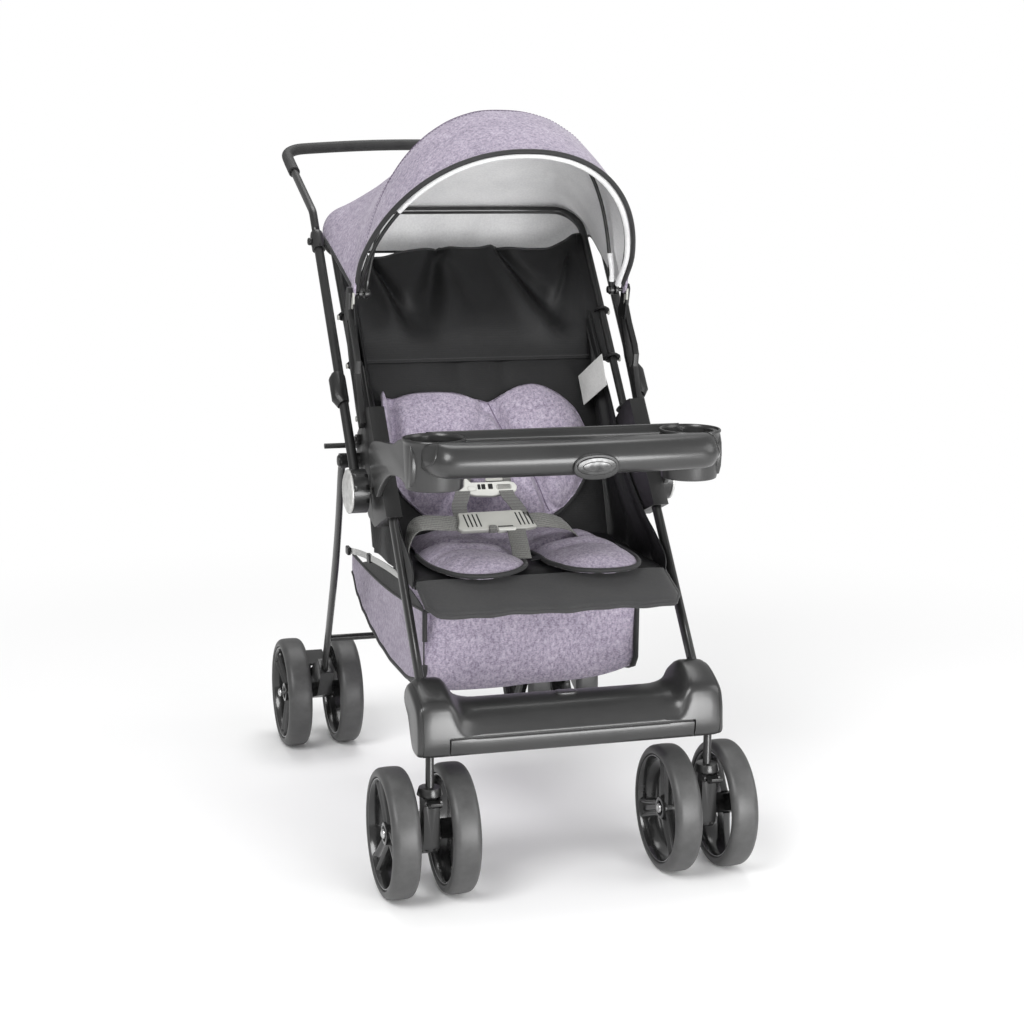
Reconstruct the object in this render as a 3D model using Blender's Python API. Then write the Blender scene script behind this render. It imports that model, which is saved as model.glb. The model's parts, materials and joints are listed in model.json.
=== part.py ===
"""A folding pushchair with a reversible push handle, built as separate pieces.

Units are metres and +Z is up. The child faces -Y, and the child's left is +X.
Side-view places are written as (y, z) pairs measured from the front axle, and
one empty then shifts the whole chair so that its origin is at the middle of
its footprint, on the floor.
"""
import math

import bmesh
import bpy
from mathutils import Matrix, Vector

# Running clearances
FIT = 0.0003            # between pieces that touch
SLIDE = 0.0004          # between plates that slide past each other
RUN = 0.0005            # beside a turning wheel

# Wheels: eight alike, in four twin pairs
WHEEL_RADIUS = 0.0875
WHEEL_SIDES = 24
TYRE_WIDTH = 0.038
TYRE_DEPTH = 0.013
TREAD_FLAT = 0.020
RIM_DEPTH = 0.0050
RIM_WIDTH = 0.032
SPOKE_COUNT = 3
SPOKE_WIDTH = 0.023
SPOKE_DEPTH = 0.0115
SPOKE_RIDGE = 0.0045
WHEEL_HUB_RADIUS = 0.0135
WHEEL_HUB_LENGTH = 0.037
AXLE_RADIUS = 0.0040
AXLE_BORE = 0.0045
AXLE_CAP_RADIUS = 0.0075
AXLE_CAP_LENGTH = 0.0035
AXLE_HEIGHT = WHEEL_RADIUS * math.cos(math.pi / WHEEL_SIDES)
FRONT_TRACK = 0.384     # between the two caster centres
REAR_TRACK = 0.396
FRONT_TWIN = 0.080      # between the two wheels of a front pair
REAR_TWIN = 0.083
WHEELBASE = 0.679

# Front casters
CASTER_TRAIL = 0.035
FORK_RADIUS = 0.0135
FORK_WEB = 0.021
FORK_BOTTOM = 0.068
FORK_TOP = 0.148
COLLAR_RADIUS = 0.0170
COLLAR_HEIGHT = 0.010
STEM_RADIUS = 0.0055
STEM_BORE = 0.0061
STEM_TOP = 0.2215
LOCK_WIDTH = 0.016
LOCK_LENGTH = 0.022
LOCK_THICKNESS = 0.0045
LOCK_EAR = 0.003
LOCK_PIN_RADIUS = 0.0018

# Front cross moulding, which is also the child's footrest
FOOTREST_WIDTH = 0.420
FOOTREST_BOTTOM = 0.198
FOOTREST_FRONT = -0.048
HORN_WIDTH = 0.055
HORN_TOP = 0.289
SADDLE_TOP = 0.258

# Front legs, flattened tubes
LEG_X = 0.1905
LEG_FOOT = (0.0329, 0.2954)
LEG_ANGLE = math.radians(50.9)
LEG_WIDTH = 0.0125
LEG_DEPTH = 0.0200
LEG_BOTTOM_Z = 0.247
LEG_TOP_Z = 0.590

# Rear legs, flattened tubes that splay outwards to the hub
REAR_PIVOT = (0.330, 0.525)
REAR_ANGLE = math.radians(54.0)
REAR_LENGTH = 0.512
REAR_TOP_X = 0.2265
REAR_BEND_X = 0.2120
REAR_BEND_AT = 0.183
REAR_TOP_FLAT = 0.024
REAR_LEG_WIDTH = 0.0100
REAR_LEG_DEPTH = 0.0200
CROSSBAR_AT = 0.398
CROSSBAR_RADIUS = 0.0055

# Side hubs
HUB_INNER_X = 0.1810
HUB_OUTER_X = 0.2032
HUB_WALL = 0.006
PIVOT_RADIUS = 0.0045
PIVOT_HOLE = 0.0050

# Push handle
HANDLE_PIVOT = (0.2514, 0.495)
HANDLE_ANGLE = math.radians(50.6)
HANDLE_X = 0.2225
HANDLE_TUBE_RADIUS = 0.0072
HANDLE_BORE = 0.0052
HANDLE_TUBE_LENGTH = 0.438
HEAD_RADIUS = 0.031
HEAD_INNER_X = 0.2118
HEAD_OUTER_X = 0.2330
COVER_THICKNESS = 0.0060
SLIDER_AT = 0.165
SLIDER_LENGTH = 0.048
SLIDER_INNER = 0.0088
HANDLE_COLLAR_RADIUS = 0.0102
HANDLE_COLLAR_LENGTH = 0.030
BUTTON_RADIUS = 0.0058
BUTTON_LENGTH = 0.0065
BUTTON_TRAVEL = 0.0020
INSERT_RADIUS = 0.0046
INSERT_LENGTH = 0.110
UPPER_TUBE_RADIUS = 0.0064
UPPER_BEND_AT = 0.478
UPPER_ANGLE = math.radians(20.0)
UPPER_LENGTH = 0.2520
HANDLE_CORNER = 0.035
HANDLE_CROWN = 0.009
GRIP_RADIUS = 0.0094
GRIP_RETURN = 0.097     # how far the grip runs down each side

# Fold levers beside the hubs
LEVER_PIVOT = (0.322, 0.556)
LEVER_END = (0.352, 0.543)
LEVER_TIP_X = 0.2485
LEVER_PIN_RADIUS = 0.0038

# Back frame, a U-shaped tube that carries the canopy's rear edge
BACK_FOOT = (0.2543, 0.500)
BACK_ANGLE = math.radians(49.35)
BACK_X = 0.1945
BACK_SPLAY = 0.0045
BACK_LENGTH = 0.4806
BACK_CORNER = 0.045
BACK_TUBE_RADIUS = 0.0062

# Canopy: a fan of arches about its two side pivots
CANOPY_PIVOT = (0.366, 0.758)
CANOPY_HALF_WIDTH = 0.2005
CANOPY_THICKNESS = 0.0030
CANOPY_TIP = 0.013
FRONT_BOW_ANGLE = math.radians(41.0)
FRONT_BOW_HEIGHT = 0.270
MID_BOW_ANGLE = math.radians(11.0)
MID_BOW_HEIGHT = 0.264
FRONT_BOW_SPREAD = 0.0045
MID_BOW_SPREAD = -0.0095
REAR_EDGE_ANGLE = math.radians(-64.0)
REAR_SAG = 0.006
SHOULDER_SAG = 0.013     # further down where the cloth is tight over the corners
SHOULDER_TUCK = 0.010    # and inwards
HEM_BACK = 0.014
SLEEVE_EASE = 0.0022     # the cover over the back frame's tube
HEM_DROP = 0.072
BOW_RADIUS = 0.0030
FRONT_BOW_X = 0.1925
MID_BOW_X = 0.1845
BOW_EYE_RADIUS = 0.0075
BOW_EYE_WIDTH = 0.0050
CANOPY_PIN_RADIUS = 0.0028
CANOPY_PIN_HOLE = 0.0034

# Side stays that carry the canopy pivots
STAY_INNER_X = 0.2036
STAY_OUTER_X = 0.2112

# Seat
SEAT_HALF_WIDTH = 0.1807
SEAT_WALL = 0.0030
SEAT_FRONT_Y = 0.100
SEAT_REAR_Y = 0.335
SEAT_TOP_Z = 0.403
SEAT_THICKNESS = 0.018
LEGREST_HINGE = (0.0990, 0.3940)
LEGREST_END = (0.0234, 0.3661)
LEGREST_HALF_WIDTH = 0.1756
LEGREST_THICKNESS = 0.0130
BACKREST_HINGE = (0.3450, 0.4010)
BACKREST_TOP = (0.5030, 0.8180)
BACKREST_HALF_WIDTH = 0.1773
BACKREST_THICKNESS = 0.0140
SEAT_PAD_THICKNESS = 0.030
BACK_PAD_HEIGHT = 0.215
BACK_PAD_THICKNESS = 0.042

# Tray
TRAY_TOP = 0.604
TRAY_FRONT_Y = -0.062
TRAY_BULGE = 0.011
CUP_X = 0.1745
CUP_Y = 0.015
CUP_RADIUS = 0.040
CUP_WALL = 0.0030
CUP_DEPTH = 0.064
TRAY_BAR_HALF = 0.199
TRAY_ARM_REAR = 0.232

# Basket
BASKET_HALF_WIDTH = 0.1535
BASKET_WALL = 0.0035
BASKET_FRONT_Y = 0.143
BASKET_REAR_Y = 0.600
BASKET_TOP_Z = 0.345
BASKET_BOTTOM_Z = 0.222

# The middle of the footprint, from the foremost tyre to the grip's rear
UPPER_BEND_YZ = (
    HANDLE_PIVOT[0] + UPPER_BEND_AT * math.cos(HANDLE_ANGLE),
    HANDLE_PIVOT[1] + UPPER_BEND_AT * math.sin(HANDLE_ANGLE),
)
HANDLE_BAR_YZ = (
    UPPER_BEND_YZ[0] + UPPER_LENGTH * math.cos(UPPER_ANGLE),
    UPPER_BEND_YZ[1] + UPPER_LENGTH * math.sin(UPPER_ANGLE),
)
ORIGIN_Y = (HANDLE_BAR_YZ[0] + GRIP_RADIUS - AXLE_HEIGHT) / 2

SIDES = (("left", 1), ("right", -1))


# Scene and materials

def clear_scene():
    for item in list(bpy.data.objects):
        bpy.data.objects.remove(item, do_unlink=True)


def material(name, colour, roughness, metallic=0.0):
    made = bpy.data.materials.get(name)
    if made is None:
        made = bpy.data.materials.new(name)
        made.use_nodes = True
        shader = made.node_tree.nodes["Principled BSDF"]
        shader.inputs["Base Color"].default_value = (*colour, 1.0)
        shader.inputs["Roughness"].default_value = roughness
        shader.inputs["Metallic"].default_value = metallic
        made.diffuse_color = (*colour, 1.0)
    return made


def dark_plastic():
    return material("dark_plastic", (0.060, 0.060, 0.062), 0.42)


def gloss_plastic():
    return material("gloss_plastic", (0.012, 0.012, 0.013), 0.22)


def tyre_rubber():
    return material("tyre_rubber", (0.105, 0.105, 0.108), 0.62)


def painted_tube():
    return material("painted_tube", (0.035, 0.035, 0.036), 0.38, 0.25)


def bright_steel():
    return material("bright_steel", (0.62, 0.62, 0.63), 0.28, 1.0)


def silver_plastic():
    return material("silver_plastic", (0.42, 0.42, 0.42), 0.35, 0.4)


def foam_rubber():
    return material("foam_rubber", (0.045, 0.045, 0.046), 0.85)


def lilac_fabric():
    return material("lilac_fabric", (0.42, 0.37, 0.45), 0.90)


def dark_fabric():
    return material("dark_fabric", (0.024, 0.024, 0.025), 0.85)


def grey_webbing():
    return material("grey_webbing", (0.26, 0.26, 0.25), 0.75)


# Side-view geometry

def along(start, angle, distance):
    """The (y, z) place at a distance from start, rising at angle towards the rear."""
    return (start[0] + distance * math.cos(angle), start[1] + distance * math.sin(angle))


def beside(place, angle, offset):
    """The (y, z) place beside a line: positive offsets lie above and in front."""
    return (place[0] - offset * math.sin(angle), place[1] + offset * math.cos(angle))


def gap_between(a, b):
    return math.hypot(b[0] - a[0], b[1] - a[1])


def heading(a, b):
    return math.atan2(b[1] - a[1], b[0] - a[0])


def arc(centre, radius, start, end, steps):
    """Points of an arc in the side view, angles in radians from +Y towards +Z."""
    return [
        along(centre, start + (end - start) * i / steps, radius)
        for i in range(steps + 1)
    ]


def leg_place(z):
    """The front leg's centre line at a height."""
    return (LEG_FOOT[0] + (z - LEG_FOOT[1]) / math.tan(LEG_ANGLE), z)


def handle_place(distance):
    """A point on the lower handle tube's centre line, as (x, y, z)."""
    y, z = along(HANDLE_PIVOT, HANDLE_ANGLE, distance)
    return (HANDLE_X, y, z)


def rear_leg_place(distance):
    """A point on the rear leg's centre line, measured down from its pivot."""
    y, z = along(REAR_PIVOT, -REAR_ANGLE, distance)
    bottom_x = REAR_TRACK / 2
    if distance < REAR_BEND_AT:
        share = max(distance - REAR_TOP_FLAT, 0.0) / (REAR_BEND_AT - REAR_TOP_FLAT)
        x = REAR_TOP_X + (REAR_BEND_X - REAR_TOP_X) * share
    else:
        share = (distance - REAR_BEND_AT) / (REAR_LENGTH - REAR_BEND_AT)
        x = REAR_BEND_X + (bottom_x - REAR_BEND_X) * share
    return (x, y, z)


# Mesh building

def mesh_object(name, verts, faces, finish, pivot=(0.0, 0.0, 0.0), crease=35.0):
    """One closed solid, with its origin at pivot, under the chair's base."""
    mesh = bpy.data.meshes.new(name)
    mesh.from_pydata([Vector(v) - Vector(pivot) for v in verts], [], faces)
    shape = bmesh.new()
    shape.from_mesh(mesh)
    bmesh.ops.recalc_face_normals(shape, faces=shape.faces)
    if shape.calc_volume(signed=True) < 0:
        bmesh.ops.reverse_faces(shape, faces=shape.faces)
    shape.to_mesh(mesh)
    shape.free()
    made = bpy.data.objects.new(name, mesh)
    made.location = pivot
    made.parent = bpy.data.objects["chair_base"]
    bpy.context.scene.collection.objects.link(made)
    mesh.materials.append(finish)
    smooth(made, crease)
    return made


def smooth(item, crease):
    mesh = item.data
    mesh.shade_smooth()
    mesh.set_sharp_from_angle(angle=math.radians(crease))


def finish_modifiers(item):
    """Replace the mesh by its evaluated result and drop the modifiers."""
    bpy.context.view_layer.update()
    graph = bpy.context.evaluated_depsgraph_get()
    result = bpy.data.meshes.new_from_object(item.evaluated_get(graph))
    old = item.data
    item.modifiers.clear()
    item.data = result
    result.name = old.name
    bpy.data.meshes.remove(old)


def combine(item, other, operation):
    """Join another solid to this one, or cut it out, and remove the other."""
    change = item.modifiers.new("combine", "BOOLEAN")
    change.operation = operation
    change.solver = "EXACT"
    change.object = other
    finish_modifiers(item)
    spare = other.data
    bpy.data.objects.remove(other, do_unlink=True)
    bpy.data.meshes.remove(spare)
    tidy(item)
    return item


def tidy(item):
    shape = bmesh.new()
    shape.from_mesh(item.data)
    bmesh.ops.remove_doubles(shape, verts=shape.verts, dist=0.00002)
    bmesh.ops.dissolve_degenerate(shape, dist=0.00002, edges=shape.edges)
    shape.to_mesh(item.data)
    shape.free()


def join(item, *others):
    for other in others:
        combine(item, other, "UNION")
    return item


def cut(item, *others):
    for other in others:
        combine(item, other, "DIFFERENCE")
    return item


def strips(rings, closed_way=False):
    """Faces between rings of equal length, laid one after another."""
    count = len(rings[0])
    faces = []
    last = len(rings) if closed_way else len(rings) - 1
    for i in range(last):
        a = i * count
        b = ((i + 1) % len(rings)) * count
        for k in range(count):
            m = (k + 1) % count
            faces.append((a + k, a + m, b + m, b + k))
    return faces


def loft(name, rings, finish, pivot=(0.0, 0.0, 0.0), crease=35.0):
    """A solid through closed rings, capped flat at both ends."""
    verts = [v for ring in rings for v in ring]
    count = len(rings[0])
    faces = strips(rings)
    faces.append(tuple(range(count)))
    faces.append(tuple(range(len(verts) - count, len(verts))))
    return mesh_object(name, verts, faces, finish, pivot, crease)


def prism(name, outline, x0, x1, finish, pivot=(0.0, 0.0, 0.0), crease=35.0):
    """A side-view outline, extruded across the chair."""
    rings = [[(x, y, z) for y, z in outline] for x in (x0, x1)]
    return loft(name, rings, finish, pivot, crease)


def ring_body(name, profile, sides, centre, finish, pivot=None, crease=35.0):
    """A closed (x, radius) profile turned about the X axis through centre."""
    rings = []
    for i in range(sides):
        angle = 2 * math.pi * (i + 0.5) / sides
        rings.append([
            (centre[0] + x, centre[1] + r * math.cos(angle), centre[2] + r * math.sin(angle))
            for x, r in profile
        ])
    verts = [v for ring in rings for v in ring]
    return mesh_object(name, verts, strips(rings, True), finish, pivot or centre, crease)


def rod(name, start, end, radius, sides, finish, pivot=None, crease=35.0):
    """A round bar between two points; radius may be a pair for a taper."""
    radii = radius if isinstance(radius, tuple) else (radius, radius)
    return sweep(name, [start, end], [(r, r) for r in radii], sides, finish,
                 pivot or start, crease)


def frames(points, reference):
    """A side and an upright vector at each point, carried along without twist."""
    places = [Vector(p) for p in points]
    tangents = []
    for i, place in enumerate(places):
        before = places[max(i - 1, 0)]
        after = places[min(i + 1, len(places) - 1)]
        if 0 < i < len(places) - 1:
            way = (place - before).normalized() + (after - place).normalized()
        else:
            way = after - before
        tangents.append(way.normalized())
    if abs(reference.dot(tangents[0])) > 0.99:
        reference = Vector((0.0, 1.0, 0.0))
    side = (reference - tangents[0] * reference.dot(tangents[0])).normalized()
    result = []
    for i, tangent in enumerate(tangents):
        if i:
            side = tangents[i - 1].rotation_difference(tangent) @ side
            side = (side - tangent * side.dot(tangent)).normalized()
        result.append((places[i], side, tangent.cross(side)))
    return result


def oval_ring(place, side, up, half_width, half_depth, sides, stretch=1.0):
    ring = []
    for k in range(sides):
        angle = 2 * math.pi * (k + 0.5) / sides
        offset = side * (half_width * math.cos(angle) * stretch)
        ring.append(place + offset + up * (half_depth * math.sin(angle)))
    return ring


def sweep(name, points, halves, sides, finish, pivot=(0.0, 0.0, 0.0), crease=35.0,
          reference=Vector((1.0, 0.0, 0.0)), bore=None):
    """A tube of oval section along points, hollow right through if it has a bore."""
    if len(halves) == 1:
        halves = halves * len(points)
    outer = []
    inner = []
    for (place, side, up), (width, depth) in zip(frames(points, reference), halves):
        outer.append(oval_ring(place, side, up, width, depth, sides))
        if bore:
            inner.append(oval_ring(place, side, up, bore, bore, sides))
    if not bore:
        return loft(name, outer, finish, pivot, crease)
    rings = outer + inner[::-1]
    verts = [v for ring in rings for v in ring]
    return mesh_object(name, verts, strips(rings, True), finish, pivot, crease)


def bent_path(corners, radii, steps):
    """A polyline whose inner corners are rounded by arcs."""
    path = [Vector(corners[0])]
    for i in range(1, len(corners) - 1):
        corner = Vector(corners[i])
        back = (Vector(corners[i - 1]) - corner).normalized()
        ahead = (Vector(corners[i + 1]) - corner).normalized()
        half = back.angle(ahead) / 2
        reach = radii[i - 1] / math.tan(half)
        middle = corner + (back + ahead).normalized() * (radii[i - 1] / math.sin(half))
        first = corner + back * reach - middle
        turn = math.pi - 2 * half
        axis = first.cross(corner + ahead * reach - middle).normalized()
        for k in range(steps[i - 1] + 1):
            spin = Matrix.Rotation(turn * k / steps[i - 1], 3, axis)
            path.append(middle + spin @ first)
    path.append(Vector(corners[-1]))
    return path


# Wheels

def tyre(name, centre):
    half = TYRE_WIDTH / 2
    inner = WHEEL_RADIUS - TYRE_DEPTH
    profile = [
        (-half + 0.003, inner),
        (-half, WHEEL_RADIUS - TYRE_DEPTH * 0.70),
        (-half + 0.0025, WHEEL_RADIUS - TYRE_DEPTH * 0.25),
        (-TREAD_FLAT / 2, WHEEL_RADIUS),
        (TREAD_FLAT / 2, WHEEL_RADIUS),
        (half - 0.0025, WHEEL_RADIUS - TYRE_DEPTH * 0.25),
        (half, WHEEL_RADIUS - TYRE_DEPTH * 0.70),
        (half - 0.003, inner),
    ]
    return ring_body(name, profile, WHEEL_SIDES, centre, tyre_rubber())


def spoke(turn, outward):
    """One broad spoke with two ridges on its outer face, from the hub to the rim."""
    half = SPOKE_WIDTH / 2
    back = -SPOKE_DEPTH / 2
    face = back + SPOKE_DEPTH - SPOKE_RIDGE
    ridge = face + SPOKE_RIDGE
    section = [
        (-half, back), (half, back), (half, face), (half * 0.55, ridge),
        (half * 0.18, face), (-half * 0.18, face), (-half * 0.55, ridge), (-half, face),
    ]
    rim_inner = WHEEL_RADIUS - TYRE_DEPTH - FIT - RIM_DEPTH
    rings = []
    for reach in (WHEEL_HUB_RADIUS * 0.7, rim_inner + RIM_DEPTH * 0.4):
        ring = []
        for width, depth in section:
            y = reach * math.cos(turn) - width * math.sin(turn)
            z = reach * math.sin(turn) + width * math.cos(turn)
            ring.append((outward * depth, y, z))
        rings.append(ring)
    return loft("spoke", rings, gloss_plastic())


def rim(name, centre, outward):
    """Rim, three spokes and hub in one moulding, with a running bore."""
    outer = WHEEL_RADIUS - TYRE_DEPTH - FIT
    inner = outer - RIM_DEPTH
    half = RIM_WIDTH / 2
    profile = [(-half, inner), (-half, outer), (half, outer), (half, inner)]
    made = ring_body(name, profile, WHEEL_SIDES, (0, 0, 0), gloss_plastic())
    hub = ring_body("hub", [(-WHEEL_HUB_LENGTH / 2, AXLE_BORE),
                            (-WHEEL_HUB_LENGTH / 2, WHEEL_HUB_RADIUS),
                            (WHEEL_HUB_LENGTH / 2, WHEEL_HUB_RADIUS * 0.9),
                            (WHEEL_HUB_LENGTH / 2, AXLE_BORE)], 12, (0, 0, 0), gloss_plastic())
    spokes = [spoke(math.pi / 2 + 2 * math.pi * k / SPOKE_COUNT, outward)
              for k in range(SPOKE_COUNT)]
    join(made, *spokes)
    join(made, hub)
    made.location = centre
    smooth(made, 30)
    return made


def axle(name, x, y, twin):
    """A bright rod through a twin pair, with a cap over each outer hub."""
    reach = twin / 2 + WHEEL_HUB_LENGTH / 2 + RUN
    cap = reach + AXLE_CAP_LENGTH
    stations = [(-cap, AXLE_CAP_RADIUS * 0.7), (-cap + 0.0015, AXLE_CAP_RADIUS),
                (-reach, AXLE_CAP_RADIUS), (-reach, AXLE_RADIUS), (reach, AXLE_RADIUS),
                (reach, AXLE_CAP_RADIUS), (cap - 0.0015, AXLE_CAP_RADIUS),
                (cap, AXLE_CAP_RADIUS * 0.7)]
    rings = []
    for along_x, radius in stations:
        rings.append([
            (x + along_x,
             y + radius * math.cos(2 * math.pi * (k + 0.5) / 12),
             AXLE_HEIGHT + radius * math.sin(2 * math.pi * (k + 0.5) / 12))
            for k in range(12)
        ])
    return loft(name, rings, bright_steel(), (x, y, AXLE_HEIGHT))


def axle_hole(x, y, reach):
    return rod("hole", (x - reach, y, AXLE_HEIGHT), (x + reach, y, AXLE_HEIGHT),
               AXLE_BORE, 12, bright_steel())


def make_wheels():
    for side, sign in SIDES:
        for place, track, twin, y in (("front", FRONT_TRACK, FRONT_TWIN, 0.0),
                                      ("rear", REAR_TRACK, REAR_TWIN, WHEELBASE)):
            for part, step in (("outer", 1), ("inner", -1)):
                x = sign * (track / 2 + step * twin / 2)
                centre = (x, y, AXLE_HEIGHT)
                tyre(f"tyre_{place}_{side}_{part}", centre)
                rim(f"rim_{place}_{side}_{part}", centre, sign * step)


# Front casters

def caster(side, sign):
    x = sign * FRONT_TRACK / 2
    y = -CASTER_TRAIL
    half = FORK_WEB / 2
    web = [
        (y - FORK_RADIUS * 0.9, FORK_BOTTOM + 0.010), (y, FORK_BOTTOM),
        (0.004, AXLE_HEIGHT - 0.0135), (0.0135, AXLE_HEIGHT - 0.002),
        (0.010, AXLE_HEIGHT + 0.011), (y + FORK_RADIUS, FORK_TOP - 0.026),
        (y + FORK_RADIUS * 0.5, FORK_TOP - 0.004), (y - FORK_RADIUS * 0.9, FORK_TOP - 0.004),
    ]
    made = prism(f"caster_fork_{side}", web, x - half, x + half, gloss_plastic(),
                 (x, y, FORK_TOP))
    column = rod("column", (x, y, FORK_BOTTOM + 0.006), (x, y, FORK_TOP + 0.001),
                 (FORK_RADIUS * 0.88, FORK_RADIUS), 14, gloss_plastic())
    collar = rod("collar", (x, y, FORK_TOP), (x, y, FORK_TOP + COLLAR_HEIGHT),
                 (COLLAR_RADIUS, COLLAR_RADIUS * 0.85), 14, gloss_plastic())
    stem = rod("stem", (x, y, FORK_TOP + COLLAR_HEIGHT - 0.002), (x, y, STEM_TOP),
               STEM_RADIUS, 12, bright_steel())
    reach = FRONT_TWIN / 2 - WHEEL_HUB_LENGTH / 2 - RUN
    boss = rod("boss", (x - reach, 0, AXLE_HEIGHT), (x + reach, 0, AXLE_HEIGHT),
               WHEEL_HUB_RADIUS - 0.001, 12, gloss_plastic())
    join(made, column, collar, stem, boss)
    cut(made, axle_hole(x, 0.0, reach + 0.002))
    lug = lock_pivot()
    ear = arc(lug, 0.0048, math.pi / 2, math.pi * 1.5, 6)
    ear += [(y - 0.004, lug[1] - 0.0048), (y - 0.004, lug[1] + 0.0048)]
    near = LOCK_WIDTH / 2 + SLIDE
    ears = [prism("ear", ear, x + s * near, x + s * (near + LOCK_EAR), gloss_plastic())
            for s in (-1, 1)]
    join(made, *ears)
    reach = near + LOCK_EAR + 0.001
    cut(made, rod("hole", (x - reach, *lug), (x + reach, *lug), LOCK_PIN_RADIUS + SLIDE, 10,
                  gloss_plastic()))
    smooth(made, 32)
    axle(f"front_axle_{side}", x, 0.0, FRONT_TWIN)


def lock_pivot():
    return (-CASTER_TRAIL - FORK_RADIUS - 0.0035, FORK_TOP - 0.006)


def swivel_lock(side, sign):
    """A foot tab in front of the caster that pins it straight ahead."""
    x = sign * FRONT_TRACK / 2
    y, z = lock_pivot()
    radius = 0.0030
    outline = arc((y, z), radius, math.pi * 0.10, -math.pi * 0.60, 4) + [
        (y - LOCK_LENGTH * 0.5, z - radius - 0.001),
        (y - LOCK_LENGTH, z + 0.002),
        (y - LOCK_LENGTH, z + 0.002 + LOCK_THICKNESS * 0.8),
        (y - LOCK_LENGTH * 0.5, z - radius + LOCK_THICKNESS),
        (y - 0.001, z + radius),
    ]
    half = LOCK_WIDTH / 2
    made = prism(f"swivel_lock_{side}", outline, x - half, x + half, gloss_plastic(), (x, y, z))
    reach = half + SLIDE + LOCK_EAR
    pin = rod("pin", (x - reach, y, z), (x + reach, y, z), LOCK_PIN_RADIUS, 10, gloss_plastic())
    join(made, pin)
    smooth(made, 32)


# Footrest moulding

def footrest_section(top_back, top_front, upper, bulge, inset):
    """The moulding's side view at one station, from the back edge round the front."""
    front = FOOTREST_FRONT
    bottom = FOOTREST_BOTTOM
    return [
        top_back, top_front,
        (front + 0.016 + inset, upper), (front + 0.004 + inset, upper - 0.018),
        (front - bulge + inset, bottom + 0.020), (front + 0.001 + inset, bottom + 0.008),
        (front + 0.007 + inset, bottom + inset), (-0.016 - inset, bottom + inset),
        (-0.004 - inset, bottom + 0.012), (0.014 - inset, bottom + 0.042),
    ]


def footrest():
    half = FOOTREST_WIDTH / 2
    horn_in = half - HORN_WIDTH
    horn = footrest_section((0.040, HORN_TOP - 0.020), (0.016, HORN_TOP), HORN_TOP - 0.017,
                            0.002, 0.0)
    shoulder = footrest_section((0.036, HORN_TOP - 0.024), (0.014, HORN_TOP - 0.005),
                                HORN_TOP - 0.021, 0.001, 0.001)
    round_end = footrest_section((0.028, HORN_TOP - 0.034), (0.006, HORN_TOP - 0.020),
                                 HORN_TOP - 0.037, -0.005, 0.006)
    saddle = footrest_section((0.020, SADDLE_TOP), (-0.010, SADDLE_TOP - 0.002),
                              SADDLE_TOP - 0.016, 0.000, 0.0)
    slope = footrest_section((0.025, SADDLE_TOP + 0.003), (-0.002, SADDLE_TOP + 0.003),
                             SADDLE_TOP - 0.010, 0.0005, 0.0)
    rise = footrest_section((0.034, SADDLE_TOP + 0.010), (0.010, SADDLE_TOP + 0.016),
                            SADDLE_TOP + 0.002, 0.001, 0.0)
    side = [(half, round_end), (half - 0.003, shoulder), (half - 0.010, horn),
            (horn_in + 0.012, horn), (horn_in + 0.003, rise), (horn_in - 0.006, slope),
            (horn_in - 0.024, saddle)]
    stations = [(-x, section) for x, section in side]
    stations += [(x, section) for x, section in reversed(side)]
    rings = [[(x, y, z) for y, z in section] for x, section in stations]
    made = loft("footrest", rings, dark_plastic(), crease=40)
    groove_z = FOOTREST_BOTTOM + 0.026
    groove = [(FOOTREST_FRONT - 0.006, groove_z), (FOOTREST_FRONT + 0.0035, groove_z),
              (FOOTREST_FRONT + 0.0035, groove_z + 0.004), (FOOTREST_FRONT - 0.006, groove_z + 0.004)]
    reach = horn_in - 0.020
    cut(made, prism("groove", groove, -reach, reach, dark_plastic()))
    for side, sign in SIDES:
        x = sign * FRONT_TRACK / 2
        bore = rod("bore", (x, -CASTER_TRAIL, FOOTREST_BOTTOM - 0.01),
                   (x, -CASTER_TRAIL, STEM_TOP + FIT), STEM_BORE, 12, dark_plastic())
        socket = leg_bar("socket", sign, LEG_BOTTOM_Z - FIT, HORN_TOP + 0.05, FIT)
        cut(made, bore, socket)
    smooth(made, 40)


# Front and rear legs

def leg_bar(name, sign, low, high, spare=0.0):
    """A straight stretch of the front leg's tube between two heights."""
    ends = [(sign * LEG_X, *leg_place(z)) for z in (low, high)]
    halves = [(LEG_WIDTH / 2 + spare, LEG_DEPTH / 2 + spare)]
    return sweep(name, ends, halves, 12, painted_tube(), ends[0])


def rear_leg(name, sign):
    distances = (0.0, REAR_TOP_FLAT, REAR_BEND_AT, REAR_LENGTH)
    points = []
    for d in distances:
        x, y, z = rear_leg_place(d)
        points.append((sign * x, y, z))
    half = (REAR_LEG_WIDTH / 2, REAR_LEG_DEPTH / 2)
    made = sweep(name, points, [half], 12, painted_tube(), (0, *REAR_PIVOT))
    eye = prism("eye", arc(REAR_PIVOT, REAR_LEG_DEPTH / 2 + 0.001, 0, 2 * math.pi, 14)[:-1],
                sign * (REAR_TOP_X - REAR_LEG_WIDTH / 2),
                sign * (REAR_TOP_X + REAR_LEG_WIDTH / 2), painted_tube())
    join(made, eye)
    cut(made, rod("hole", (sign * (REAR_TOP_X - 0.02), *REAR_PIVOT),
                  (sign * (REAR_TOP_X + 0.02), *REAR_PIVOT), PIVOT_HOLE, 12, painted_tube()))
    return made


def rear_frame():
    """Both rear legs, with the crossbar welded between them."""
    made = rear_leg("rear_frame", 1)
    x, y, z = rear_leg_place(CROSSBAR_AT)
    bar = rod("bar", (-x, y, z), (x, y, z), CROSSBAR_RADIUS, 12, painted_tube())
    join(made, bar, rear_leg("leg", -1))
    smooth(made, 32)


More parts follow.
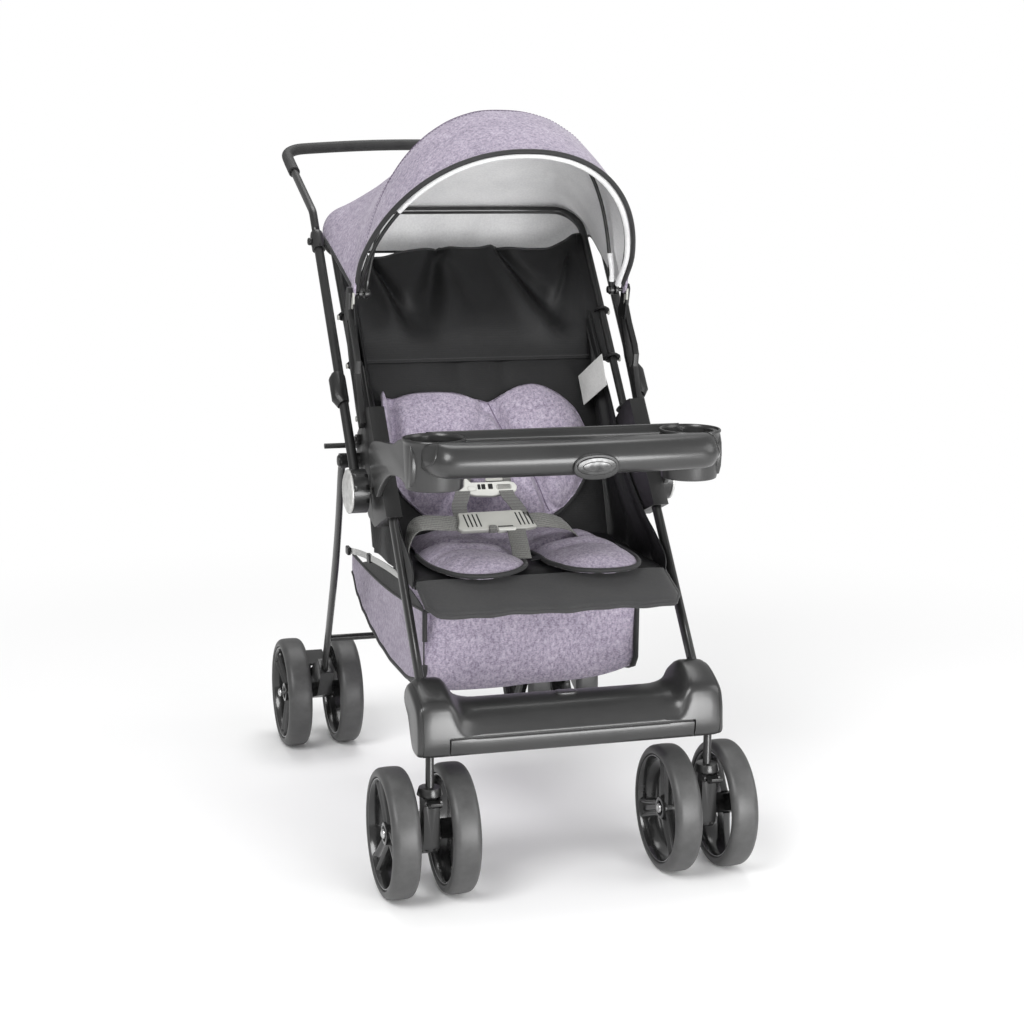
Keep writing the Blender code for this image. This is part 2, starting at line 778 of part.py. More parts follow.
def rear_bracket(side, sign):
    """The moulding that joins a rear leg's foot to its axle."""
    x = sign * REAR_TRACK / 2
    foot = along(REAR_PIVOT, -REAR_ANGLE, REAR_LENGTH)
    top = along(REAR_PIVOT, -REAR_ANGLE, REAR_LENGTH - 0.045)
    wall = REAR_LEG_DEPTH / 2 + 0.005
    outline = [
        beside(top, -REAR_ANGLE, -wall), beside(top, -REAR_ANGLE, wall),
        (WHEELBASE - 0.006, AXLE_HEIGHT + 0.040),
        (WHEELBASE + 0.008, AXLE_HEIGHT + 0.032),
        (WHEELBASE + 0.0145, AXLE_HEIGHT), (WHEELBASE + 0.004, AXLE_HEIGHT - 0.0145),
        beside((foot[0], foot[1] - 0.012), -REAR_ANGLE, -wall * 0.6),
    ]
    half = FORK_WEB / 2
    made = prism(f"rear_bracket_{side}", outline, x - half, x + half, gloss_plastic(),
                 (x, WHEELBASE, AXLE_HEIGHT))
    reach = REAR_TWIN / 2 - WHEEL_HUB_LENGTH / 2 - RUN
    boss = rod("boss", (x - reach, WHEELBASE, AXLE_HEIGHT), (x + reach, WHEELBASE, AXLE_HEIGHT),
               WHEEL_HUB_RADIUS - 0.001, 12, gloss_plastic())
    join(made, boss)
    points = []
    for d in (REAR_LENGTH + FIT, REAR_LENGTH - 0.09):
        px, y, z = rear_leg_place(d)
        points.append((sign * px, y, z))
    socket = sweep("socket", points,
                   [(REAR_LEG_WIDTH / 2 + FIT, REAR_LEG_DEPTH / 2 + FIT)], 12, painted_tube())
    cut(made, socket, axle_hole(x, WHEELBASE, reach + 0.002))
    y, z = brake_pivot()
    pin = rod("pin", (x - 0.0135, y, z), (x + 0.0135, y, z), 0.0026, 10, gloss_plastic())
    join(made, pin)
    smooth(made, 32)
    return made


def brake_pivot():
    return (WHEELBASE + 0.001, AXLE_HEIGHT + 0.031)


def brake_pedal(side, sign):
    """A foot pedal over each rear bracket, hung on the bracket's pin."""
    x = sign * REAR_TRACK / 2
    y, z = brake_pivot()
    outline = [
        (y - 0.008, z - 0.006), (y + 0.004, z - 0.007), (y + 0.014, z + 0.006),
        (y + 0.044, z + 0.018), (y + 0.046, z + 0.024), (y + 0.016, z + 0.018),
        (y - 0.004, z + 0.015), (y - 0.009, z + 0.006),
    ]
    half = 0.0175
    made = prism(f"brake_pedal_{side}", outline, x - half, x + half, dark_plastic(), (x, y, z))
    slot_half = FORK_WEB / 2 + SLIDE
    slot = prism("slot", [(y - 0.03, z - 0.03), (y + 0.0165, z - 0.03), (y + 0.0165, z + 0.0115),
                          (y - 0.03, z + 0.0115)], x - slot_half, x + slot_half, dark_plastic())
    hole = rod("hole", (x - 0.016, y, z), (x + 0.016, y, z), 0.0031, 10, dark_plastic())
    cut(made, slot, hole)
    smooth(made, 32)


# Hubs

def hub_outline():
    """The side housing round the leg's top, the back frame's foot and the pivots."""
    wall = LEG_DEPTH / 2 + HUB_WALL
    low = leg_place(HANDLE_PIVOT[1] - 0.030)
    high = leg_place(LEG_TOP_Z + 0.010)
    rear = 0.0175
    return [
        beside(low, LEG_ANGLE, wall), beside(high, LEG_ANGLE, wall),
        beside(along(high, LEG_ANGLE, 0.006), LEG_ANGLE, 0.0),
        (REAR_PIVOT[0] + rear * 0.55, REAR_PIVOT[1] + 0.038),
        (REAR_PIVOT[0] + rear, REAR_PIVOT[1] + 0.006),
        (REAR_PIVOT[0] + rear * 0.6, REAR_PIVOT[1] - rear * 0.9),
        (HANDLE_PIVOT[0] + 0.018, HANDLE_PIVOT[1] - 0.040),
        (HANDLE_PIVOT[0] - 0.020, HANDLE_PIVOT[1] - 0.048),
    ]


def hub(side, sign):
    made = prism(f"hub_housing_{side}", hub_outline(), sign * HUB_INNER_X, sign * HUB_OUTER_X,
                 dark_plastic(), (sign * HUB_OUTER_X, *HANDLE_PIVOT))
    boss_end = REAR_TOP_X - REAR_LEG_WIDTH / 2 - SLIDE
    leg_end = REAR_TOP_X + REAR_LEG_WIDTH / 2 + SLIDE
    boss = round_x("boss", sign, REAR_PIVOT,
                   [(HUB_OUTER_X - 0.004, 0.0105), (boss_end, 0.0105), (boss_end, PIVOT_RADIUS),
                    (leg_end, PIVOT_RADIUS), (leg_end, 0.0085), (leg_end + 0.0022, 0.0070)],
                   14, dark_plastic())
    lever_boss = rod("boss", (sign * (HUB_OUTER_X - 0.003), *LEVER_PIVOT),
                     (sign * (HUB_OUTER_X + 0.0075), *LEVER_PIVOT), 0.0035, 12, dark_plastic())
    join(made, boss, lever_boss)
    leg = leg_bar("socket", sign, LEG_BOTTOM_Z, LEG_TOP_Z + FIT, FIT)
    tube = sweep("socket", back_side(sign, -FIT, BACK_LENGTH - BACK_CORNER),
                 [(BACK_TUBE_RADIUS + FIT, BACK_TUBE_RADIUS + FIT)], 12, dark_plastic())
    hole = rod("hole", (sign * (HUB_OUTER_X - 0.009), *HANDLE_PIVOT),
               (sign * 0.25, *HANDLE_PIVOT), PIVOT_RADIUS + FIT, 12, dark_plastic())
    cut(made, leg, tube, hole)
    smooth(made, 32)


def round_x(name, sign, place, stations, sides, finish, crease=35.0):
    """A solid of round sections along X, given as (x, radius) stations."""
    rings = []
    for x, radius in stations:
        rings.append([(sign * x, *p) for p in
                      arc(place, radius, math.pi / sides, 2 * math.pi + math.pi / sides,
                          sides)[:-1]])
    return loft(name, rings, finish, (sign * stations[0][0], *place), crease)


# Push handle

def handle_points(sign, distances):
    points = []
    for d in distances:
        x, y, z = handle_place(d)
        points.append((sign * x, y, z))
    return points


def collar_middle():
    return HANDLE_TUBE_LENGTH - HANDLE_COLLAR_LENGTH / 2


def handle_tube(side, sign):
    """Pivot head, straight tube and top collar of one handle side."""
    pivot = (sign * HANDLE_X, *HANDLE_PIVOT)
    made = sweep(f"handle_tube_{side}", handle_points(sign, (0.010, HANDLE_TUBE_LENGTH)),
                 [(HANDLE_TUBE_RADIUS, HANDLE_TUBE_RADIUS)], 12, painted_tube(), pivot)
    head = prism("head", arc(HANDLE_PIVOT, HEAD_RADIUS, 0, 2 * math.pi, 20)[:-1],
                 sign * HEAD_INNER_X, sign * HEAD_OUTER_X, painted_tube())
    collar = sweep("collar", handle_points(sign, (HANDLE_TUBE_LENGTH - HANDLE_COLLAR_LENGTH,
                                                  HANDLE_TUBE_LENGTH - 0.004,
                                                  HANDLE_TUBE_LENGTH + 0.0006)),
                   [(HANDLE_COLLAR_RADIUS, HANDLE_COLLAR_RADIUS)] * 2
                   + [(HANDLE_COLLAR_RADIUS * 0.86, HANDLE_COLLAR_RADIUS * 0.86)],
                   14, painted_tube())
    join(made, head, collar)
    bore = sweep("bore", handle_points(sign, (HANDLE_TUBE_LENGTH - INSERT_LENGTH - 0.002,
                                              HANDLE_TUBE_LENGTH + 0.02)),
                 [(HANDLE_BORE, HANDLE_BORE)], 12, painted_tube())
    x, y, z = handle_place(collar_middle())
    recess = rod("recess", (sign * (x + 0.0062), y, z), (sign * (x + 0.03), y, z),
                 BUTTON_RADIUS + FIT, 12, painted_tube())
    hole = rod("hole", (sign * (HEAD_INNER_X - 0.01), *HANDLE_PIVOT),
               (sign * (HEAD_OUTER_X + 0.01), *HANDLE_PIVOT), PIVOT_HOLE, 12, painted_tube())
    cut(made, bore, recess, hole)
    smooth(made, 32)


def collar_button(side, sign):
    x, y, z = handle_place(collar_middle())
    start = x + 0.0062 + BUTTON_TRAVEL + FIT
    end = start + BUTTON_LENGTH
    stations = [(start, BUTTON_RADIUS), (end - 0.0015, BUTTON_RADIUS),
                (end, BUTTON_RADIUS * 0.75)]
    rings = []
    for px, radius in stations:
        rings.append([
            (sign * px, y + radius * math.cos(2 * math.pi * (k + 0.5) / 12),
             z + radius * math.sin(2 * math.pi * (k + 0.5) / 12))
            for k in range(12)
        ])
    loft(f"height_button_{side}", rings, dark_plastic(), (sign * start, y, z))


def handle_cap(side, sign):
    """A domed silver cap on a pin, which holds the handle's head to the hub."""
    start = HEAD_OUTER_X + SLIDE
    stations = [(HUB_OUTER_X - 0.0085, PIVOT_RADIUS), (start, PIVOT_RADIUS), (start, HEAD_RADIUS),
                (start + COVER_THICKNESS * 0.55, HEAD_RADIUS),
                (start + COVER_THICKNESS, HEAD_RADIUS * 0.78)]
    round_x(f"handle_cap_{side}", sign, HANDLE_PIVOT, stations, 20, silver_plastic(), 40)


def release_slider(side, sign):
    """The finger slide on the handle tube that frees the handle to swing over."""
    middle = handle_place(SLIDER_AT)
    half = SLIDER_LENGTH / 2
    points = handle_points(sign, (SLIDER_AT - half, SLIDER_AT - half * 0.6, SLIDER_AT + half * 0.7,
                                  SLIDER_AT + half))
    widths = (0.0092, 0.0125, 0.0125, 0.0100)
    shifted = []
    for (x, y, z), width in zip(points, widths):
        shifted.append((x + sign * (width - SLIDER_INNER), y, z))
    made = sweep(f"handle_release_{side}", shifted,
                 [(w, 0.0115) for w in widths], 12, dark_plastic(),
                 (sign * middle[0], middle[1], middle[2]))
    bore = sweep("bore", handle_points(sign, (SLIDER_AT - 0.1, SLIDER_AT + 0.1)),
                 [(HANDLE_TUBE_RADIUS + SLIDE, HANDLE_TUBE_RADIUS + SLIDE)], 12, dark_plastic())
    cut(made, bore)
    smooth(made, 40)


def upper_handle_path():
    """The sliding top of the handle: up one side, round, and down the other."""
    insert = HANDLE_TUBE_LENGTH - INSERT_LENGTH
    x0 = handle_place(UPPER_BEND_AT)[0]
    shoulder = HANDLE_TUBE_LENGTH + 0.0012
    side_points = [handle_place(insert), handle_place(shoulder), handle_place(shoulder + 0.001)]
    bend = handle_place(UPPER_BEND_AT)
    bar = (x0, *HANDLE_BAR_YZ)
    rounded = bent_path([side_points[2], bend, bar, (0.0, bar[1], bar[2] + HANDLE_CROWN)],
                        (0.030, HANDLE_CORNER), (3, 5))
    half_way = rounded[:-1] + bar_crown()
    left = [Vector(side_points[0]), Vector(side_points[1])] + half_way
    right = [Vector((-p.x, p.y, p.z)) for p in reversed(left[:-1])]
    return left + right


def bar_crown():
    """The half of the bar's gentle rise that leads to its middle."""
    y, z = HANDLE_BAR_YZ
    rise = HANDLE_CROWN
    return [Vector((HANDLE_X * 0.42, y, z + rise * 0.80)), Vector((0.0, y, z + rise))]


def upper_handle():
    path = upper_handle_path()
    thin = (INSERT_RADIUS, INSERT_RADIUS)
    full = (UPPER_TUBE_RADIUS, UPPER_TUBE_RADIUS)
    halves = [full] * len(path)
    halves[0] = halves[1] = halves[-1] = halves[-2] = thin
    sweep("handle_upper", path, halves, 10, painted_tube(), (0, *HANDLE_BAR_YZ))


def grip():
    """Foam over the bar and both corners of the upper handle."""
    x0 = handle_place(UPPER_BEND_AT)[0]
    start = along(HANDLE_BAR_YZ, UPPER_ANGLE, -GRIP_RETURN)
    middle = (0.0, HANDLE_BAR_YZ[0], HANDLE_BAR_YZ[1] + HANDLE_CROWN)
    half_way = bent_path([(x0, *start), (x0, *HANDLE_BAR_YZ), middle], (HANDLE_CORNER,), (5,))
    half_way = half_way[:-1] + bar_crown()
    right = [Vector((-p.x, p.y, p.z)) for p in reversed(half_way[:-1])]
    sweep("handle_grip", half_way + right, [(GRIP_RADIUS, GRIP_RADIUS)], 10, foam_rubber(),
          (0, *HANDLE_BAR_YZ), bore=UPPER_TUBE_RADIUS + FIT)


def fold_lever(side, sign):
    """A small lever with a finger peg, pivoted on the hub above the rear leg."""
    way = heading(LEVER_PIVOT, LEVER_END)
    outline = arc(LEVER_PIVOT, 0.0075, way + math.pi / 2, way + 1.5 * math.pi, 6)
    outline += arc(LEVER_END, 0.0058, way - math.pi / 2, way + math.pi / 2, 5)
    inner = HUB_OUTER_X + SLIDE
    made = prism(f"fold_lever_{side}", outline, sign * inner, sign * (inner + 0.0055),
                 dark_plastic(), (sign * inner, *LEVER_PIVOT))
    peg = rod("peg", (sign * (inner + 0.002), *LEVER_END), (sign * LEVER_TIP_X, *LEVER_END),
              LEVER_PIN_RADIUS, 12, dark_plastic())
    join(made, peg)
    cut(made, rod("hole", (sign * (inner - 0.01), *LEVER_PIVOT),
                  (sign * (inner + 0.02), *LEVER_PIVOT), 0.0040, 12, dark_plastic()))
    smooth(made, 32)


# Back frame and canopy

def back_place(distance):
    y, z = along(BACK_FOOT, BACK_ANGLE, distance)
    return (BACK_X + BACK_SPLAY * distance / BACK_LENGTH, y, z)


def back_side(sign, low, high):
    points = []
    for d in (low, high):
        x, y, z = back_place(d)
        points.append((sign * x, y, z))
    return points


def back_frame():
    foot = back_place(0.0)
    top = back_place(BACK_LENGTH)
    left = bent_path([foot, top, (-top[0], top[1], top[2])], (BACK_CORNER,), (6,))[:-1]
    right = [Vector((-p.x, p.y, p.z)) for p in reversed(left)]
    sweep("back_frame", left + right, [(BACK_TUBE_RADIUS, BACK_TUBE_RADIUS)], 10,
          painted_tube(), (0, *BACK_FOOT))


def fan_point(angle, x, reach):
    """A point at reach from the canopy's axis, tilted forwards by angle."""
    return (x, CANOPY_PIVOT[0] - reach * math.sin(angle),
            CANOPY_PIVOT[1] + reach * math.cos(angle))


def arch(half_width, height, power, share):
    """A point (x, reach) on a squared ellipse, with share running from 0 to 1."""
    turn = math.pi * share
    c = math.cos(turn)
    s = math.sin(turn)
    x = half_width * math.copysign(abs(c) ** (2 / power), c)
    return x, height * abs(s) ** (2 / power)


def ease(share):
    share = min(max(share, 0.0), 1.0)
    return share * share * (3 - 2 * share)


def swell(value, middle, width):
    """A soft bump of height 1."""
    return math.exp(-((value - middle) / width) ** 2)


ARCH_STEPS = 18
REAR_ROWS = 4


def arch_ring(angle, height, power, spread, inset):
    """One arch of the cover, ending at the tips above the pivots."""
    points = []
    for k in range(ARCH_STEPS + 1):
        x, reach = arch(CANOPY_HALF_WIDTH - inset, height - inset, power, k / ARCH_STEPS)
        reach = max(reach, CANOPY_TIP)
        wide = 1 + spread * ease((reach - CANOPY_TIP) / 0.06) / CANOPY_HALF_WIDTH
        points.append(Vector(fan_point(angle, x * wide, reach)))
    return points


def rear_ring(inset):
    """The cover's edge where it hugs the outside of the back frame's top."""
    out = BACK_TUBE_RADIUS + SLEEVE_EASE + CANOPY_THICKNESS - inset
    top_x = BACK_X + BACK_SPLAY
    half = [Vector(fan_point(REAR_EDGE_ANGLE, CANOPY_HALF_WIDTH - inset, CANOPY_TIP))]
    corner = []
    for k in range(5):
        turn = math.pi / 2 * k / 4
        x = top_x - BACK_CORNER + (BACK_CORNER + out) * math.cos(turn)
        reach = BACK_LENGTH - BACK_CORNER + (BACK_CORNER + out) * math.sin(turn)
        corner.append(Vector((x, *along(BACK_FOOT, BACK_ANGLE, reach))))
    half += [half[0].lerp(corner[0], 0.36), half[0].lerp(corner[0], 0.70)] + corner
    high = corner[-1]
    half += [Vector((high.x * 0.5, high.y, high.z)), Vector((0.0, high.y, high.z))]
    return half + [Vector((-p.x, p.y, p.z)) for p in reversed(half[:-1])]


def hem_ring(inset):
    """The rear hem, which hangs behind the back frame's top bar."""
    ring = []
    for k, point in enumerate(rear_ring(inset)):
        share = ease((min(k, ARCH_STEPS - k) - 2.5) / 3.5)
        ring.append(point + Vector((0.0, HEM_BACK * share, -HEM_DROP * share)))
    return ring


def canopy_rings(inset):
    middle = (FRONT_BOW_ANGLE + MID_BOW_ANGLE) / 2
    between = (FRONT_BOW_HEIGHT + MID_BOW_HEIGHT) / 2 - 0.0045
    mid = arch_ring(MID_BOW_ANGLE, MID_BOW_HEIGHT, 2.2, MID_BOW_SPREAD, inset)
    rear = rear_ring(inset)
    rings = [
        arch_ring(FRONT_BOW_ANGLE, FRONT_BOW_HEIGHT, 2.15, FRONT_BOW_SPREAD, inset),
        arch_ring(middle, between, 2.15, (FRONT_BOW_SPREAD + MID_BOW_SPREAD) / 2, inset),
        mid,
    ]
    for row in range(1, REAR_ROWS):
        share = row / REAR_ROWS
        ring = []
        for k, (a, b) in enumerate(zip(mid, rear)):
            place = k / ARCH_STEPS
            shoulder = swell(place, 0.24, 0.12) + swell(place, 0.76, 0.12)
            drop = REAR_SAG * math.sin(math.pi * place) + SHOULDER_SAG * shoulder
            tuck = math.copysign(SHOULDER_TUCK * shoulder, 0.5 - place)
            pull = Vector((tuck, 0.0, drop)) * math.sin(math.pi * share)
            ring.append(a.lerp(b, share) - pull)
        rings.append(ring)
    return rings + [rear, hem_ring(inset)]


def canopy_cover():
    """One sheet over the bows, with a thickness, open at the front and below."""
    outer = canopy_rings(0.0)
    inner = canopy_rings(CANOPY_THICKNESS)
    rows = len(outer)
    cols = ARCH_STEPS + 1
    verts = [v for ring in outer for v in ring] + [v for ring in inner for v in ring]
    shift = rows * cols
    faces = []
    for i in range(rows - 1):
        for k in range(cols - 1):
            a = i * cols + k
            faces.append((a, a + 1, a + cols + 1, a + cols))
            faces.append((shift + a, shift + a + cols, shift + a + cols + 1, shift + a + 1))
    for k in range(cols - 1):
        for i, flip in ((0, False), (rows - 1, True)):
            a = i * cols + k
            face = (a, shift + a, shift + a + 1, a + 1)
            faces.append(face[::-1] if flip else face)
    for i in range(rows - 1):
        for k, flip in ((0, True), (cols - 1, False)):
            a = i * cols + k
            face = (a, shift + a, shift + a + cols, a + cols)
            faces.append(face[::-1] if flip else face)
    mesh_object("canopy_cover", verts, faces, lilac_fabric(), (0, *CANOPY_PIVOT), 60)


def bow(name, angle, height, half_width, power, spread):
    """A steel arch with a flat eye on each pivot pin."""
    inside = CANOPY_THICKNESS + BOW_RADIUS + 0.0015
    points = []
    steps = 14
    for k in range(steps + 1):
        x, reach = arch(half_width, height - inside, power, k / steps)
        reach = max(reach, 0.0052)
        wide = 1 + spread * ease((reach - CANOPY_TIP) / 0.06) / half_width
        points.append(fan_point(angle, x * wide, reach))
    made = sweep(name, points, [(BOW_RADIUS, BOW_RADIUS)], 8, painted_tube(),
                 (0, *CANOPY_PIVOT), reference=Vector((0.0, 1.0, 0.0)))
    for sign in (1, -1):
        x0 = sign * (half_width - BOW_EYE_WIDTH / 2)
        x1 = sign * (half_width + BOW_EYE_WIDTH / 2)
        eye = prism("eye", arc(CANOPY_PIVOT, BOW_EYE_RADIUS, 0, 2 * math.pi, 12)[:-1], x0, x1,
                    painted_tube())
        join(made, eye)
        hole = rod("hole", (x0 - sign * 0.01, *CANOPY_PIVOT), (x1 + sign * 0.01, *CANOPY_PIVOT),
                   CANOPY_PIN_HOLE, 10, painted_tube())
        cut(made, hole)
    smooth(made, 40)


def stay_outline():
    """The looped side stay, from the hub's top up to the canopy pivot."""
    p = CANOPY_PIVOT
    return [
        (p[0] - 0.0100, p[1] + 0.002), (p[0] - 0.006, p[1] + 0.0085), (p[0] + 0.004, p[1] + 0.0095),
        (p[0] + 0.0105, p[1] + 0.002), (p[0] + 0.0135, p[1] - 0.020), (p[0] + 0.022, p[1] - 0.030),
        (p[0] + 0.020, p[1] - 0.046), (p[0] + 0.006, p[1] - 0.066), (p[0] - 0.010, p[1] - 0.098),
        (p[0] - 0.030, p[1] - 0.124), (p[0] - 0.052, p[1] - 0.158), (p[0] - 0.072, p[1] - 0.182),
        (p[0] - 0.086, p[1] - 0.172), (p[0] - 0.064, p[1] - 0.142), (p[0] - 0.050, p[1] - 0.108),
        (p[0] - 0.053, p[1] - 0.090), (p[0] - 0.046, p[1] - 0.076), (p[0] - 0.020, p[1] - 0.046),
        (p[0] - 0.004, p[1] - 0.022),
    ]


def stay_window():
    p = CANOPY_PIVOT
    return [
        (p[0] + 0.004, p[1] - 0.040), (p[0] - 0.004, p[1] - 0.056), (p[0] - 0.020, p[1] - 0.094),
        (p[0] - 0.036, p[1] - 0.112), (p[0] - 0.045, p[1] - 0.106), (p[0] - 0.047, p[1] - 0.092),
        (p[0] - 0.040, p[1] - 0.080), (p[0] - 0.016, p[1] - 0.052), (p[0] - 0.004, p[1] - 0.036),
    ]


def stay(side, sign):
    """One looped plate, with the pin that the canopy's bows turn on."""
    made = prism(f"canopy_stay_{side}", stay_outline(), sign * STAY_INNER_X, sign * STAY_OUTER_X,
                 dark_plastic(), (sign * STAY_INNER_X, *CANOPY_PIVOT))
    window = prism("window", stay_window(), sign * 0.19, sign * 0.23, dark_plastic())
    cut(made, window)
    tip = MID_BOW_X - BOW_EYE_WIDTH / 2 - SLIDE
    pin = round_x("pin", sign, CANOPY_PIVOT,
                  [(STAY_INNER_X + 0.003, CANOPY_PIN_RADIUS), (tip, CANOPY_PIN_RADIUS),
                   (tip, 0.0058), (tip - 0.003, 0.0050)], 12, dark_plastic())
    join(made, pin)
    smooth(made, 32)


# Seat

def seat_shell():
    """Seat base and the two tall side wings, sewn in one piece."""
    base_bottom = SEAT_TOP_Z - SEAT_THICKNESS
    base = [(SEAT_FRONT_Y + 0.006, SEAT_TOP_Z), (SEAT_FRONT_Y + 0.006, base_bottom),
            (SEAT_REAR_Y, base_bottom), (SEAT_REAR_Y, SEAT_TOP_Z)]
    half = SEAT_HALF_WIDTH
    made = prism("seat_shell", base, -half + 0.0005, half - 0.0005, dark_fabric())
    front_top = beside(back_place(0.305)[1:], BACK_ANGLE, 0.004)
    front_low = beside(back_place(0.020)[1:], BACK_ANGLE, 0.004)
    rear_way = heading(BACKREST_HINGE, BACKREST_TOP)
    rear_low = beside(BACKREST_HINGE, rear_way, 0.002)
    wing = [
        front_top, front_low, (0.190, 0.462), (SEAT_FRONT_Y + 0.006, SEAT_TOP_Z + 0.012),
        (SEAT_FRONT_Y + 0.006, base_bottom), (SEAT_REAR_Y + 0.002, base_bottom),
        (rear_low[0], SEAT_TOP_Z + 0.010),
        beside(along(BACKREST_HINGE, rear_way, 0.350), rear_way, 0.002),
    ]
    for sign in (1, -1):
        join(made, prism("wing", wing, sign * (half - SEAT_WALL), sign * half, dark_fabric()))
    smooth(made, 30)


def backed_grid(face_points, columns, back_points):
    """Vertices and faces of a grid of points closed by one flat back."""
    wide = columns + 1
    rows = len(face_points) // wide - 1
    border = list(range(columns))
    border += [columns + j * wide for j in range(rows)]
    border += [rows * wide + columns - i for i in range(columns)]
    border += [(rows - j) * wide for j in range(rows)]
    first = len(face_points)
    faces = []
    for j in range(rows):
        for i in range(columns):
            a = j * wide + i
            faces.append((a, a + 1, a + wide + 1, a + wide))
    for k, a in enumerate(border):
        b = (k + 1) % len(border)
        faces.append((a, first + k, first + b, border[b]))
    faces.append(tuple(range(first + len(border) - 1, first - 1, -1)))
    return list(face_points) + [back_points[i] for i in border], faces


def pad(name, half_width, length, thickness, columns, rows, finish, channel=0.0, lobes=0.0,
        pull=0.0, taper=0.0, notch=0.0):
    """A crowned pad in its own frame: x across, y along its length, z up from its base.

    The sides draw in between the corners, a channel runs down the middle, and the
    front edge (y = 0) may have two lobes. taper narrows the front edge by that share,
    and notch cuts that deep into the middle of the far edge and rounds its shoulders.
    """
    top = []
    low = []
    for j in range(rows + 1):
        v = j / rows
        edge = half_width * (1.0 - pull * math.sin(math.pi * v) ** 2)
        edge *= 1.0 - taper * (1.0 - ease(v / 0.5))
        for i in range(columns + 1):
            u = -1 + 2 * i / columns
            front = lobes * (1.0 - math.cos(2 * math.pi * (abs(u) - 0.5))) * 0.5
            far = notch * (swell(u, 0.0, 0.13) + 1.6 * abs(u) ** 5)
            y = v * length + front * (1 - v) ** 2 - far * v ** 3
            crown = (1 - abs(u) ** 4) ** 0.5 * (1 - abs(2 * v - 1) ** 4) ** 0.5
            groove = channel * math.exp(-(u / 0.10) ** 2)
            height = 0.006 + (thickness - 0.006) * crown * (1 - groove)
            top.append((u * edge, y, height))
            low.append((u * edge, y, 0.0))
    verts, faces = backed_grid(top, columns, low)
    return verts, faces, name, finish


def place_pad(shape, origin, way):
    """Lay a pad's frame at origin: its length runs at angle way, its face is above."""
    verts, faces, name, finish = shape
    placed = []
    for x, y, z in verts:
        spot = beside(along(origin, way, y), way, z)
        placed.append((x, *spot))
    return mesh_object(name, placed, faces, finish, (0, *origin), 60)


def cushions():
    seat = pad("seat_cushion", 0.154, SEAT_REAR_Y - SEAT_FRONT_Y - 0.022, SEAT_PAD_THICKNESS,
               16, 9, lilac_fabric(), channel=0.42, lobes=0.036)
    place_pad(seat, (SEAT_FRONT_Y + 0.004, SEAT_TOP_Z + FIT), 0.0)
    way = heading(BACKREST_HINGE, BACKREST_TOP)
    front = beside(BACKREST_HINGE, way, BACKREST_THICKNESS / 2 + FOLD_DEPTH * 0.36 + FIT)
    start = along(front, way, 0.040)
    back = pad("back_cushion", 0.157, BACK_PAD_HEIGHT - 0.040, BACK_PAD_THICKNESS, 16, 9,
               lilac_fabric(), channel=0.45, taper=0.40, notch=0.020)
    place_pad(back, start, way)


FOLD_DEPTH = 0.006
PANEL_COLUMNS = 14
PANEL_ROWS = 7


def fold_shape(u, v):
    """How far the back's cloth stands proud: pulled folds that fan from the top."""
    fan = math.cos(5.2 * math.pi * (u * (0.55 + 0.45 * v)) + 0.6)
    return FOLD_DEPTH * (0.5 + 0.5 * fan) * v ** 1.5


def backrest():
    """The reclining back, a board under pulled cloth."""
    way = heading(BACKREST_HINGE, BACKREST_TOP)
    length = gap_between(BACKREST_HINGE, BACKREST_TOP)
    half = BACKREST_THICKNESS / 2
    start = 0.012
    front = []
    rear = []
    for j in range(PANEL_ROWS + 1):
        v = j / PANEL_ROWS
        for i in range(PANEL_COLUMNS + 1):
            u = -1 + 2 * i / PANEL_COLUMNS
            sag = 0.008 * (1 - u * u) * v ** 3
            reach = start + (length - start) * v - sag
            spot = along(BACKREST_HINGE, way, reach)
            front.append((u * BACKREST_HALF_WIDTH, *beside(spot, way, half + fold_shape(u, v))))
            rear.append((u * BACKREST_HALF_WIDTH, *beside(spot, way, -half)))
    verts, faces = backed_grid(front, PANEL_COLUMNS, rear)
    made = mesh_object("backrest", verts, faces, dark_fabric(), (0, *BACKREST_HINGE), 50)
    barrel = prism("barrel", arc(BACKREST_HINGE, half + 0.001, 0, 2 * math.pi, 12)[:-1],
                   -BACKREST_HALF_WIDTH, BACKREST_HALF_WIDTH, dark_fabric())
    neck_high = along(BACKREST_HINGE, way, start + 0.004)
    neck = [beside(BACKREST_HINGE, way, half * 0.8), beside(neck_high, way, half * 0.8),
            beside(neck_high, way, -half * 0.8), beside(BACKREST_HINGE, way, -half * 0.8)]
    join(made, barrel, prism("neck", neck, -BACKREST_HALF_WIDTH + 0.001,
                             BACKREST_HALF_WIDTH - 0.001, dark_fabric()))
    smooth(made, 50)


def legrest():
    """The calf panel, hinged along the seat's front edge."""
    way = heading(LEGREST_HINGE, LEGREST_END)
    length = gap_between(LEGREST_HINGE, LEGREST_END)
    half = LEGREST_THICKNESS / 2
    outline = arc(LEGREST_HINGE, half, way - math.pi / 2, way - 1.5 * math.pi, 6)
    tip = along(LEGREST_HINGE, way, length - half * 0.7)
    outline += arc(tip, half * 0.7, way + math.pi / 2, way - math.pi / 2, 5)
    inset = (0.016, 0.005, 0.0)
    rings = []
    for x, shrink in ((-1.0, 0), (-0.965, 1), (-0.90, 2), (0.90, 2), (0.965, 1), (1.0, 0)):
        ring = []
        for y, z in outline:
            reach = (y - LEGREST_HINGE[0]) * math.cos(way) + (z - LEGREST_HINGE[1]) * math.sin(way)
            share = max(reach, 0.0) / length
            pull = inset[shrink] * share
            ring.append((x * LEGREST_HALF_WIDTH, y - pull * math.cos(way),
                         z - pull * math.sin(way)))
        rings.append(ring)
    loft("legrest", rings, dark_fabric(), (0, *LEGREST_HINGE), 45)


# Tray

